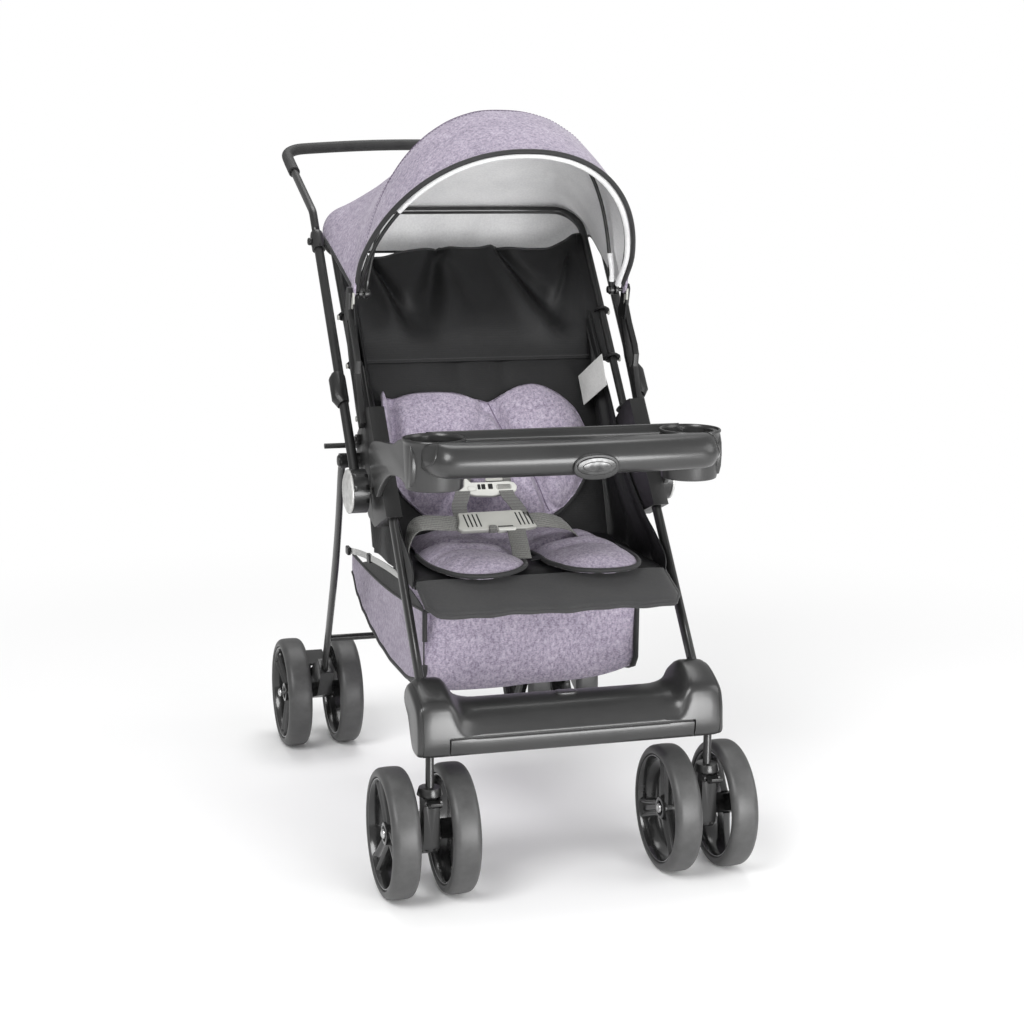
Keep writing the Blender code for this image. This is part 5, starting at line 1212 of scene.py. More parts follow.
SEAT_OUTLINE = [
    (-0.128, 0.322), (-0.146, 0.235), (-0.150, 0.170), (-0.142, 0.114), (-0.122, 0.083),
    (-0.094, 0.072), (-0.060, 0.077), (-0.030, 0.098), (-0.016, 0.128), (-0.018, 0.168),
    (-0.006, 0.200), (0.008, 0.196), (0.014, 0.162), (0.016, 0.122), (0.034, 0.086),
    (0.068, 0.069), (0.106, 0.069), (0.132, 0.086), (0.143, 0.122), (0.144, 0.180),
    (0.136, 0.246), (0.112, 0.305), (0.050, 0.322), (-0.050, 0.326),
]
SEAT_SEAMS = (
    ([(-0.150, 0.235), (-0.085, 0.205), (0.004, 0.196), (0.085, 0.205), (0.150, 0.235)],
     0.007, 0.007),
    ([(-0.148, 0.150), (-0.100, 0.170), (-0.040, 0.158)], 0.010, 0.0045),
    ([(0.040, 0.158), (0.100, 0.170), (0.148, 0.150)], 0.010, 0.0045))
SEAT_TURN = 0.112       # where the seat pad starts to roll down
SEAT_PIPED = 0.215      # how far back its piping goes
BACK_OUTLINE = [
    (-0.090, 0.022), (-0.135, 0.062), (-0.158, 0.110), (-0.170, 0.170), (-0.166, 0.214),
    (-0.140, 0.206), (-0.118, 0.212), (-0.092, 0.215), (-0.045, 0.213), (-0.008, 0.203),
    (0.006, 0.197), (0.022, 0.206), (0.052, 0.220), (0.082, 0.223), (0.110, 0.211),
    (0.138, 0.187), (0.155, 0.150), (0.154, 0.105), (0.135, 0.062), (0.090, 0.022),
    (0.030, 0.016), (-0.030, 0.016),
]
BACK_SEAMS = (
    ([(0.006, 0.200), (0.030, 0.140), (0.066, 0.078), (0.088, 0.026)], 0.0085, 0.021),
    ([(0.006, 0.200), (-0.030, 0.120), (-0.070, 0.060), (-0.088, 0.026)], 0.010, 0.010),
    ([(-0.141, 0.208), (-0.141, 0.120), (-0.128, 0.060)], 0.0065, 0.015))
CURL_AT = -0.143        # where the back pad's left edge starts to curl up


def seat_wrap(x, y, h):
    """The seat pad lies on the base and rolls down over its front edge."""
    if y >= SEAT_TURN:
        return Vector((x, y, SEAT_TOP + 0.0012 + h))
    past = SEAT_TURN - y
    bend = math.radians(5.0) * ease(past / 0.030)
    return Vector((x, SEAT_TURN - past * math.cos(bend * 0.8) - h * math.sin(bend),
                   SEAT_TOP + 0.0012 + h * math.cos(bend) - past * math.sin(bend * 0.72)))


def seat_cushion():
    item, outline = pad("seat_pad", SEAT_OUTLINE, 0.012, 3.6, 0.011, SEAT_SEAMS, 0.032,
                        seat_wrap, "frame", 0.0017)
    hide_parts("seat_cushion")
    start = next(i for i, p in enumerate(outline) if p.y < SEAT_PIPED)
    tube("seat_pad_piping", [seat_wrap(p.x, p.y, 0.0050)
                             for p in outline[start:] + outline[:start] if p.y < SEAT_PIPED],
         0.0034, PIPING, "frame")


def back_wrap(x, y, h):
    """The back pad lies on the board; its left edge curls up along the wing."""
    out = BOARD_FRONT + 0.0042
    if x > CURL_AT:
        return on_back(x, y, out + h)
    past = CURL_AT - x
    bend = math.radians(62.0) * ease(past / 0.022)
    return on_back(CURL_AT - past * math.cos(bend * 0.75) + h * math.sin(bend) * 0.35, y,
                   out + h * math.cos(bend * 0.6) + past * math.sin(bend) * 1.1)


def seam_on(item, path, wrap):
    """The places of a sewn line on a pad's upper face, found from above the pad."""
    bpy.context.view_layer.update()
    shift = Vector((0, ORIGIN_Y, 0))
    made = []
    for a, b in zip(path, path[1:]):
        for k in range(12):
            x, y = [p + (q - p) * k / 12 for p, q in zip(a, b)]
            above, under = wrap(x, y, 0.060), wrap(x, y, 0.0)
            hit, place, _, _ = item.ray_cast(above - shift, under - above)
            if hit:
                made.append(place + shift)
    return made


def back_cushion():
    item, outline = pad("back_pad", BACK_OUTLINE, 0.016, 4.2, 0.020, BACK_SEAMS, 0.036,
                        back_wrap, "back", 0.0007)
    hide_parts("back_cushion")
    right = sorted((p for p in outline if p.x > 0.04 and p.y < 0.150), key=lambda p: p.y)
    tube("back_pad_piping", [back_wrap(p.x, p.y, 0.0055) for p in right], 0.0028, PIPING, "back",
         sides=8)
    # the seam as a thin dark cord, which also paints the shade in the groove between the lobes
    seam = tube("back_pad_seam", seam_on(item, BACK_SEAMS[0][0], back_wrap), 0.0010, LILAC_SEAM,
                "back", sides=6)


# Basket

BASKET_HALF = 0.1535
BASKET_FRONT = 0.143
BASKET_REAR = 0.600
BASKET_LENGTH = BASKET_REAR - BASKET_FRONT
BASKET_TOP = 0.345
BASKET_BOTTOM = 0.222
# (y, height over the lowest place) along the floor
FLOOR_LINE = ((0.143, 0.020), (0.150, 0.007), (0.175, 0.001), (0.215, 0.0), (0.330, 0.002),
              (0.400, 0.008), (0.460, 0.018), (0.520, 0.032), (0.560, 0.048), (0.600, 0.0755))


def basket_floor(y, u):
    """The height of the basket's floor at y, for a share u across it from -1 to 1."""
    lift = FLOOR_LINE[-1][1]
    for (y0, z0), (y1, z1) in zip(FLOOR_LINE, FLOOR_LINE[1:]):
        if y <= y1:
            lift = z0 + (z1 - z0) * ease((y - y0) / (y1 - y0))
            break
    lift += 0.0045 * u * (1 - ease((y - 0.15) / 0.20))
    return BASKET_BOTTOM + lift + 0.014 * abs(u) ** 4.5 * (1 - ease((y - 0.15) / 0.10) * 0.9)


def basket_top(y):
    """The height of a side's upper edge, which sags between its straps and drops to the rear."""
    run = (y - BASKET_FRONT) / BASKET_LENGTH
    return BASKET_TOP - 0.010 * arch_of(run) - 0.018 * run


def front_edge(u):
    return BASKET_TOP - 0.0045 * (1 - u * u)


def basket_front_place(run, share):
    u = -1 + 2 * share
    soft = 0.0016 * cloud((u * 0.15, run * 0.12, 0), 0.05, 3.0)
    soft += 0.0030 * math.sin(34 * (u * 0.15 - run * 0.05)) * run * (1 - u ** 4)
    soft += 0.0130 * bump(u + 0.10 * run, -0.93, 0.030) * bump(run, 0.15, 0.42)
    soft += 0.0040 * ease(run) - 0.0045 * arch_of(run) * (1 - u ** 4)
    top = front_edge(u)
    return Vector((u * BASKET_HALF, BASKET_FRONT + 0.0005 + soft,
                   top + (basket_floor(BASKET_FRONT, u) - top) * run))


def basket_floor_place(run, share):
    u = -1 + 2 * share
    y = BASKET_FRONT + 0.0045 + (BASKET_LENGTH - 0.0045) * run
    sag = 0.0022 * cloud((u * 0.15, y, 1), 0.07, 8.0) * (1 - u ** 6)
    return Vector((u * BASKET_HALF, y, basket_floor(y, u) + sag))


def basket_side(side, sign):
    """One side: its wall, piping, clips, dark upper flap, strap and bound upper edge."""
    def wall_place(run, share):
        y = BASKET_FRONT + 0.001 + (BASKET_LENGTH - 0.001) * share
        low = basket_floor(y, 1.0)
        top = max(basket_top(y), low + 0.002)
        slack = 0.0050 * arch_of(run) * arch_of(share)
        return Vector((sign * (BASKET_HALF - slack), y, top + (low - top) * run))

    rows = grid(12, 56, wall_place)
    if sign < 0:
        rows = [list(reversed(row)) for row in rows]
    made = [cloth(f"basket_side_{side}", rows, 0.0022, (LILAC, LILAC, PIPING))]
    corner = basket_floor(BASKET_FRONT, 1.0)
    edge = [Vector((sign * BASKET_HALF, BASKET_FRONT + 0.0005,
                    corner + (BASKET_TOP - corner) * k / 10)) for k in range(10, -1, -1)]
    depths = [BASKET_FRONT + BASKET_LENGTH * k / 50 for k in range(1, 51)]
    edge += [Vector((sign * BASKET_HALF, y, basket_floor(y, 1.0))) for y in depths]
    pipings = [("basket_piping_left", edge, 0.0040)] if sign > 0 else [
        ("basket_piping_right", edge[9:], 0.0040), ("basket_binding_right", edge[:6], 0.0036)]
    made += [tube(name, path, radius, PIPING, sides=8) for name, path, radius in pipings]
    for k, (y, z) in enumerate(((0.555, 0.3440), (0.405, 0.3640))):
        made.append(block(f"basket_clip_{side}_{k}", rounded_outline(0.0180, 0.0130, 0.0030),
                          -0.0022, 0.0030, DARK_PLASTIC,
                          lambda a, b, h: Vector((sign * (0.1712 + h), y + a, z + b)), 0.0010))
    depths = [BASKET_FRONT + BASKET_LENGTH * k / 40 for k in range(41)]
    top = [Vector((sign * BASKET_HALF, y, basket_top(y))) for y in depths]
    flap = [[Vector((sign * (BASKET_HALF + 0.0008), p.y, p.z + 0.032 * (1 - i / 5)
                     * arch_of(min(1, 1.15 * k / 40)) ** 0.8)) for k, p in enumerate(top)]
            for i in range(6)]
    made.append(cloth(f"basket_flap_{side}", flap, 0.0012, ALL_BLACK))
    spots = [Vector((sign * out, y, z)) for out, y, z in (
        (0.1660, 0.560, 0.3420), (0.1700, 0.470, 0.3570), (0.1710, 0.385, 0.3670),
        (0.1710, 0.290, 0.3750), (0.1710, 0.215, 0.3790))]
    made.append(ribbon(f"basket_strap_{side}", smooth_path(spots, 12), [(0, 0, 1)] * 13, 0.0095,
                       0.0014, PALE_TAPE))
    made.append(tube(f"basket_rim_{side}", top, 0.0026, PIPING, sides=8))
    return made


def basket():
    """A sewn cloth bag: bound upper edges, rounded front corners and a sagging floor."""
    rows = grid(12, 84, basket_front_place) + grid(44, 84, basket_floor_place)[1:]
    bag = cloth("basket_bag", rows, -0.0022, (LILAC, LILAC, PIPING))
    made = [bag]
    for side, sign in SIDES:
        made += basket_side(side, sign)
    across = [-1 + 2 * k / 40 for k in range(41)]
    for end, y, height in (
            ("front", BASKET_FRONT + 0.0005, front_edge),
            ("rear", BASKET_REAR, lambda u: max(basket_floor(BASKET_REAR, u), 0.30))):
        made.append(tube(f"basket_rim_{end}", [Vector((BASKET_HALF * u, y, height(u)))
                                               for u in across], 0.0026, PIPING, sides=8))
    for item in made:
        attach(item, "frame")
        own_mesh(item)
    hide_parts("basket")


# Hard parts

# node prefixes, bevel (0 rounds the sections instead), finish, slot
HARD_FINISHES = (
    (TUBES, 0.0, TUBE_PAINT, "painted_tube"), ("handle_grip", 0.0, FOAM, "foam_rubber"),
    ("handle_cap", 0.0009, SILVER, "silver_plastic"),
    (WHEEL_MOULDINGS, 0.0009, GLOSS_FORK, "gloss_plastic"),
    (DARK_MOULDINGS, 0.0009, DARK_PLASTIC, "dark_plastic"))


def body_of(node):
    return frame["nodes"][node].parent.name.split(":", 1)[1]


def middle_of(node):
    """The middle of a node's box, and half its width, in the side view's own measure."""
    low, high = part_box(node)
    return (low + high) / 2 + Vector((0, ORIGIN_Y, 0)), (high.x - low.x) / 2


def refined(node, bevel, finish, slot):
    """A finer copy of a node: its edges bevelled or, with bevel 0, its sections rounded."""
    item = frame["nodes"][node]
    graph = bmesh.new()
    graph.from_mesh(item.data)
    graph.transform(item.matrix_world)
    bmesh.ops.remove_doubles(graph, verts=graph.verts, dist=0.00002)
    if bevel:
        bmesh.ops.dissolve_limit(graph, angle_limit=math.radians(1.0), verts=graph.verts,
                                 edges=graph.edges)
    else:
        bmesh.ops.join_triangles(graph, faces=[f for f in graph.faces if len(f.verts) == 3],
                                 angle_face_threshold=math.radians(25),
                                 angle_shape_threshold=math.radians(60))
        sharp = graph.edges.layers.float.new("crease_edge")
        for edge in graph.edges:
            if len(edge.link_faces) == 2 and edge.calc_face_angle(0.0) > math.radians(52):
                edge[sharp] = 1.0
    mesh = bpy.data.meshes.new(node + "_fine")
    graph.to_mesh(mesh)
    graph.free()
    mesh.materials.append(finish)
    fine = put_in_scene(bpy.data.objects.new(node + "_fine", mesh))
    if bevel:
        modify(fine, "BEVEL", width=bevel, segments=3, limit_method="ANGLE",
               angle_limit=math.radians(30), use_clamp_overlap=True, harden_normals=False)
    else:
        modify(fine, "SUBSURF", levels=2, render_levels=2)
    shade(fine, 35)
    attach(fine, body_of(node))
    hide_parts(node)


TYRE_HALF = 0.0190
TYRE_OUTER = 0.08675
TYRE_INNER = 0.0740
TYRE_SHOULDER = 0.0095
RIM_LIP = [(0.0148, 0.0738), (0.0166, 0.0733), (0.0172, 0.0723), (0.0168, 0.0712),
           (0.0150, 0.0703), (0.0128, 0.0694), (0.0070, 0.0684)]
HUB_PROFILE = [(-0.0185, 0.0045), (-0.0185, 0.0120), (-0.0172, 0.0134), (0.0060, 0.0142),
               (0.0108, 0.0152), (0.0124, 0.0148), (0.0130, 0.0136), (0.0127, 0.0108),
               (0.0112, 0.0098), (0.0060, 0.0092), (0.0060, 0.0045)]
# one half of a spoke's dished section, from its edge to its middle: (share across, share deep)
SPOKE_HALF = [(-1.0, -0.5), (-1.0, 0.12), (-0.94, 0.26), (-0.78, 0.44), (-0.66, 0.50),
              (-0.52, 0.44), (-0.36, 0.22), (-0.20, 0.12)]
SPOKE_SECTION = SPOKE_HALF + [(0.0, 0.10)] + [(-a, d) for a, d in reversed(SPOKE_HALF)]
# (distance from the axle, half width, depth, outward offset)
SPOKE_STATIONS = [(0.0110, 0.0118, 0.0120, 0.0035), (0.0180, 0.0116, 0.0114, 0.0040),
                  (0.0300, 0.0120, 0.0108, 0.0055), (0.0500, 0.0130, 0.0104, 0.0078),
                  (0.0620, 0.0140, 0.0104, 0.0092), (0.0670, 0.0152, 0.0108, 0.0098),
                  (0.0700, 0.0172, 0.0112, 0.0100)]
WHEEL_PHASES = {"front_right_outer": 68, "front_right_inner": 60, "front_left_inner": -19,
                "front_left_outer": 40, "rear_right_outer": 37, "rear_right_inner": 20,
                "rear_left_inner": 50, "rear_left_outer": 100}


def both_ways(half):
    """An outline from its +X half to the mirror of it."""
    return half + [(-x, r) for x, r in reversed(half)]


def tyre_profile():
    right = [(0.0150, TYRE_INNER), (0.0176, TYRE_INNER + 0.0004), (TYRE_HALF, TYRE_INNER + 0.0022)]
    for k in range(8):
        turn = math.pi / 2 * k / 7
        right.append((TYRE_HALF - TYRE_SHOULDER * (1 - math.cos(turn)),
                      TYRE_OUTER - 0.0004 - TYRE_SHOULDER * (1 - math.sin(turn))))
    right.append((0.0050, TYRE_OUTER - 0.0001))
    return right + [(0.0, TYRE_OUTER)] + [(-x, r) for x, r in reversed(right)]


def spoke(name, centre, sign, turn, body):
    c, s = math.cos(turn), math.sin(turn)
    rings = [[(centre[0] + sign * (high * deep + out),
               centre[1] + reach * c - across * half * s,
               centre[2] + reach * s + across * half * c) for across, high in SPOKE_SECTION]
             for reach, half, deep, out in SPOKE_STATIONS]
    return loft(name, rings, GLOSS_PLASTIC, body, 30)


def wheel(name, phase):
    """One wheel: a round-shouldered tyre on a three-spoke rim with a lipped edge."""
    body = "wheel_" + name
    centre, _ = middle_of("tyre_" + name)
    sign = math.copysign(1.0, centre.x) * (1 if name.endswith("outer") else -1)
    tyre = turned(f"tyre_{name}_fine", tyre_profile(), centre, TYRE, body)
    rim = turned(f"rim_{name}_fine", both_ways([(x * sign, r) for x, r in RIM_LIP]), centre,
                 GLOSS_PLASTIC, body, crease=50)
    hub = turned(f"hub_{name}", [(x * sign, r) for x, r in HUB_PROFILE], centre, GLOSS_PLASTIC,
                 body, 48)
    combine(rim, hub, *[spoke(f"spoke_{name}_{k}", centre, sign,
                              math.radians(phase + 120 * k), body) for k in range(3)])
    shade(rim, 34)
    for item, node, slot in ((tyre, "tyre_", "tyre_rubber"), (rim, "rim_", "gloss_plastic")):
        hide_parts(node + name)


def axle_pair(node, recess):
    """A steel axle with a domed cap on each end, recess short of the node's own ends."""
    centre, half = middle_of(node)
    half -= recess
    cap = [(half, 0.0001), (half, 0.0018), (half - 0.0006, 0.0040), (half - 0.0018, 0.0060),
           (half - 0.0034, 0.0066), (half - 0.0034, 0.0040)]
    item = turned(node + "_fine", both_ways(cap), centre, STEEL, body_of(node), 32, 35)
    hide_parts(node)


def hard_parts():
    for node in list(frame["nodes"]):
        for prefixes, bevel, finish, slot in HARD_FINISHES:
            if node.startswith(prefixes):
                refined(node, bevel, finish, slot)
    for name, phase in WHEEL_PHASES.items():
        wheel(name, phase)
    for side, _ in SIDES:
        axle_pair(f"front_axle_{side}", 0.0060)
        axle_pair(f"rear_axle_{side}", 0.0)


# Footrest and tray

FOOT_FRONT = -0.048
FOOT_BOTTOM = 0.198
FOOT_HORN = 0.289
FOOT_SADDLE = 0.258


def foot_section(top_back, top_front, upper, bulge, inset=0.0):
    """The moulding's side view at one station, from the back edge round the front."""
    front, low = FOOT_FRONT + inset, FOOT_BOTTOM + 0.0005 + inset
    return [Vector(p) for p in (
        top_back, top_front, (front + 0.016, upper), (front + 0.004, upper - 0.018),
        (front - bulge, FOOT_BOTTOM + 0.022), (front + 0.0005, FOOT_BOTTOM + 0.009),
        (front + 0.007, low), (-0.016 - inset, low), (-0.004 - inset, FOOT_BOTTOM + 0.012),
        (0.014 - inset, FOOT_BOTTOM + 0.042))]


SADDLE = foot_section((0.020, FOOT_SADDLE), (-0.010, FOOT_SADDLE - 0.002), FOOT_SADDLE - 0.016,
                      0.0)
SLOPE = foot_section((0.025, FOOT_SADDLE + 0.003), (-0.002, FOOT_SADDLE + 0.003),
                     FOOT_SADDLE - 0.010, 0.0005)
RISE = foot_section((0.034, FOOT_SADDLE + 0.011), (0.010, FOOT_SADDLE + 0.017),
                    FOOT_SADDLE + 0.003, 0.001)
HORN = foot_section((0.040, FOOT_HORN - 0.020), (0.016, FOOT_HORN), FOOT_HORN - 0.017, 0.0015)
SHOULDER = foot_section((0.036, FOOT_HORN - 0.024), (0.014, FOOT_HORN - 0.005),
                        FOOT_HORN - 0.021, 0.001, 0.001)
ROUND_END = foot_section((0.028, FOOT_HORN - 0.034), (0.006, FOOT_HORN - 0.020),
                         FOOT_HORN - 0.037, -0.005, 0.006)
# (one section, the next, (distance from the middle, share between them, inward offset)...)
FOOT_STATIONS = (
    (SADDLE, SADDLE, (0.0, 0, 0), (0.060, 0, 0), (0.118, 0, 0)),
    (SADDLE, SLOPE, (0.128, 0.10, 0), (0.136, 0.40, 0), (0.142, 0.75, 0)),
    (SLOPE, RISE, (0.147, 0.10, 0), (0.151, 0.40, 0), (0.1545, 0.80, 0)),
    (RISE, HORN, (0.158, 0.25, 0), (0.1615, 0.60, 0), (0.1655, 0.88, 0)),
    (HORN, HORN, (0.171, 0, 0), (0.190, 0, 0)),
    (HORN, SHOULDER, (0.1985, 0.25, 0), (0.2025, 0.65, 0), (0.2030, 0.70, 0.0009),
     (0.2040, 0.82, 0.0009), (0.2045, 0.95, 0)),
    (SHOULDER, ROUND_END, (0.2072, 0.10, 0), (0.2090, 0.28, 0), (0.2098, 0.55, 0),
     (0.2100, 0.80, 0)))
GROOVE_LINE = FOOT_BOTTOM + 0.0235
GROOVE_DEEP = FOOT_FRONT + 0.0042
GROOVE_REACH = 0.1680


def inset_ring(ring, amount):
    if not amount:
        return ring
    middle = sum(ring, Vector((0, 0))) / len(ring)
    return [p + (middle - p).normalized() * amount for p in ring]


def box(low, high):
    outline = [(low[0], low[1]), (high[0], low[1]), (high[0], high[1]), (low[0], high[1])]
    return block("groove", outline, low[2], high[2], SATIN_PLASTIC,
                 lambda a, b, h: Vector((a, b, h)), 0.0)


def footrest():
    half = []
    for a, b, *stations in FOOT_STATIONS:
        for x, share, inward in stations:
            corners = [p.lerp(q, share) for p, q in zip(a, b)]
            half.append((x, inset_ring(outline_points(corners, 5), inward)))
    stations = [(-x, ring) for x, ring in reversed(half[1:])] + half
    item = loft("footrest_fine", [[Vector((x, p.x, p.y)) for p in ring] for x, ring in stations],
                SATIN_PLASTIC, "frame", 38)
    front = FOOT_FRONT - 0.01
    cutters = [box((-GROOVE_REACH, front, GROOVE_LINE),
                   (GROOVE_REACH, GROOVE_DEEP, GROOVE_LINE + 0.0034))]
    for side in (-1, 1):
        x, bore = side * GROOVE_REACH, side * 0.192
        cutters.append(box((x - 0.0011, front, FOOT_BOTTOM - 0.01),
                           (x + 0.0011, GROOVE_DEEP, GROOVE_LINE + 0.0024)))
        cutters.append(tube("bore", [(bore, -0.035, 0.18), (bore, -0.035, 0.2219)], 0.0060,
                            SATIN_PLASTIC, sides=24))
    for cutter in cutters:
        modify(item, "BOOLEAN", object=cutter, operation="DIFFERENCE", solver="EXACT")
        remove(cutter)
    shade(item, 38)
    catch = block("footrest_catch", rounded_outline(0.030, 0.018, 0.007), -0.001, 0.0034,
                  SATIN_PLASTIC, lambda a, b, h: Vector((a + 0.004, b + 0.004, FOOT_SADDLE + h)),
                  0.0012, "frame")
    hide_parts("footrest")


TRAY_TOP = 0.604
TRAY_BACK = -0.008
TRAY_BAR_HALF = 0.199
CUP = (0.1745, 0.015)
CUP_CLEAR = 0.0385      # the deck ends on this circle inside a cup's wall
CUP_PROFILE = [(0.0001, 0.5400), (0.0350, 0.5400), (0.0366, 0.5410), (0.0373, 0.5440),
               (0.0397, 0.5970), (0.0401, 0.6010), (0.0411, 0.6024), (0.0411, 0.6042),
               (0.0402, 0.6054), (0.0386, 0.6056), (0.0376, 0.6046), (0.0371, 0.6010),
               (0.0343, 0.5465), (0.0330, 0.5440), (0.0001, 0.5436)]
DECK_PROFILE = [(-0.030, 0.5985), (-0.014, 0.5935), (0.010, 0.5925), (0.032, 0.5930),
                (0.0450, 0.5955), (0.0505, 0.6010), (0.0520, 0.6050), (0.0548, 0.6066),
                (0.0572, 0.6050), (0.0568, 0.5990), (0.0510, 0.5915), (0.036, 0.5888),
                (-0.012, 0.5880), (-0.032, 0.5910)]
ARM_OUTLINE = [(-0.003, 0.600), (-0.003, 0.546), (0.057, 0.548), (0.120, 0.538),
               (0.170, 0.512), (0.188, 0.498), (0.210, 0.514), (0.232, 0.542),
               (0.230, 0.560), (0.196, 0.574), (0.095, 0.586), (0.055, 0.598)]


def tray_section(share):
    """The tray's rolled front bar at one place across it, from 0 at the middle to 1 at an end."""
    shrink = 0.036 * max((abs(share) - 0.80) / 0.20, 0.0) ** 3.6
    f = -0.062 - 0.011 * (1 - share ** 2) + shrink
    back, tuck, t = TRAY_BACK, shrink * 0.25, TRAY_TOP
    spots = [
        (back, t - 0.012), (back - 0.002, t - 0.004 - tuck),
        (min(-0.032 + shrink * 0.5, back - 0.004), t + 0.0028 - tuck),
        (min(f + 0.015, back - 0.008), t + 0.0010 - tuck),
        (min(f + 0.0040, back - 0.012), t - 0.0085 - tuck), (min(f, back - 0.014), t - 0.021),
        (min(f + 0.0045, back - 0.012), t - 0.034 + tuck),
        (min(f + 0.016, back - 0.008), t - 0.0412 + tuck),
        (min(f + 0.028, back - 0.003), t - 0.0385 + tuck),
        (min(-0.022 + shrink * 0.4, back - 0.001), t - 0.017),
    ]
    return [Vector((share * TRAY_BAR_HALF, p.x, p.y)) for p in outline_points(spots, 5)]


def deck_reach(y):
    """How far the deck runs sideways before it meets a cup's wall."""
    inside = CUP_CLEAR ** 2 - (y - CUP[1]) ** 2
    return CUP[0] - (math.sqrt(inside) if inside > 0 else 0.0)


def tray():
    shares = [math.sin(math.pi / 2 * k / 30) for k in range(-30, 31)]
    bar = loft("tray_fine", [tray_section(s) for s in shares], SATIN_PLASTIC, "tray")
    profile = outline_points(DECK_PROFILE, 4)
    parts = [loft("deck", [[Vector((u / 12 * deck_reach(p.x), p.x, p.y)) for p in profile]
                           for u in range(-12, 13)], SATIN_PLASTIC, "tray")]
    arm = [(p.x, p.y) for p in outline_points(ARM_OUTLINE, 4)]
    for side, sign in SIDES:
        parts.append(spun(f"cup_{side}", CUP_PROFILE, lambda turn, r, z: (
            sign * CUP[0] + r * math.cos(turn), CUP[1] + r * math.sin(turn), z),
            72, SATIN_PLASTIC, "tray", 40))
        parts.append(block(f"arm_{side}", arm, sign * 0.2037, sign * 0.2109, SATIN_PLASTIC,
                           lambda a, b, h: Vector((h, a, b)), 0.0014, "tray"))
        bead = [tray_section(sign * (0.905 + 0.0037 * (k - 9)))[k] for k in range(9, 31)]
        parts.append(tube(f"bead_{side}", bead, 0.0014, SATIN_PLASTIC, "tray", sides=8))
    combine(bar, *parts)
    shade(bar, 38)
    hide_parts("tray")


def emblem():
    """A bare bright oval in a dark recess on the front bar."""
    place = facing((0.0140, -0.0700, 0.5755), (0, -1, -0.12))
    for name, outline, low, high, finish, bevel, slot in (
            ("base", oval_outline(0.0305, 0.0170, 2.3), -0.012, 0.0052, DARK_PLASTIC, 0.0016,
             "dark_plastic"),
            ("plate", oval_outline(0.0262, 0.0118, 2.1, 0.0016), 0.0040, 0.0068, CHROME, 0.0014,
             "silver_plastic"),
            ("boss", oval_outline(0.0190, 0.0068, 2.0, 0.0014), 0.0060, 0.0078, CHROME, 0.0012,
             "silver_plastic")):
        item = block("tray_emblem_" + name, outline, low, high, finish, place, bevel, "tray")


# Harness

BELT_WIDTH = 0.0230
BELT_THICKNESS = 0.0016
LEAN_IN = tuple(Vector((0.0, 0.020, 0.0245)).normalized())


def strap(name, spots, sides, width=BELT_WIDTH, body=None):
    """A belt along a smooth path; sides gives the way its width points at each spot."""
    return ribbon(name, smooth_path(spots, 28), smooth_path(sides, 28), width, BELT_THICKNESS,
                  WEBBING, body)


def harness():
    left = strap("belt_left", [
        (-0.1665, 0.196, 0.408), (-0.1650, 0.196, 0.428), (-0.1560, 0.200, 0.4480),
        (-0.1420, 0.202, 0.4555), (-0.115, 0.200, 0.4545), (-0.088, 0.196, 0.4535)],
        [(0, 1, 0.1), (0, 1, 0.15), (0.0, 0.8, 0.6), LEAN_IN, LEAN_IN, LEAN_IN], body="frame")
    right = strap("belt_right", [
        (0.004, 0.196, 0.4530), (0.030, 0.199, 0.4525), (0.0560, 0.203, 0.4470),
        (0.0740, 0.208, 0.4370), (0.090, 0.214, 0.4210), (0.1100, 0.220, 0.4100)],
        [LEAN_IN, LEAN_IN, (0, 0.8, 0.6), (0, 1, 0.3), (0, 1, 0.1), (0, 1, 0)], body="frame")
    crotch = strap("belt_crotch", [
        (-0.0120, 0.190, 0.4500), (-0.0137, 0.176, 0.4400), (-0.0150, 0.160, 0.4290),
        (-0.0160, 0.146, 0.4170), (-0.0160, 0.141, 0.4120)], [(1, 0.05, 0)] * 5, 0.0265, "frame")
    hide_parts("waist_harness")
    waist_buckle()
    chest_clip()
    for name, spots in (
            ("left", [(-0.0860, 0.204, 0.4610), (-0.0790, 0.242, 0.4690),
                      (-0.0620, 0.286, 0.4790), (-0.0480, 0.337, 0.5050)]),
            ("right", [(0.0030, 0.204, 0.4600), (0.0035, 0.242, 0.4680),
                       (0.0030, 0.286, 0.4780), (0.0100, 0.337, 0.5050)])):
        x, y, z = spots[-1]
        item = strap(f"belt_shoulder_{name}", spots + [(x, y + 0.020, z + 0.022)],
                     [(1, 0, 0)] * 5, 0.0215)
        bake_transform(item)


def fastener(name, outline, half, bevel, finish, place, body, parts):
    """A bevelled plate with smaller blocks set into it, all as one piece."""
    plate = block(name, outline, -half, half, finish, place, bevel, body)
    combine(plate, *[block(name + "_part", shape, low, high, paint, place, edge, body, segments)
                     for shape, low, high, paint, edge, segments in parts])
    shade(plate, 40)


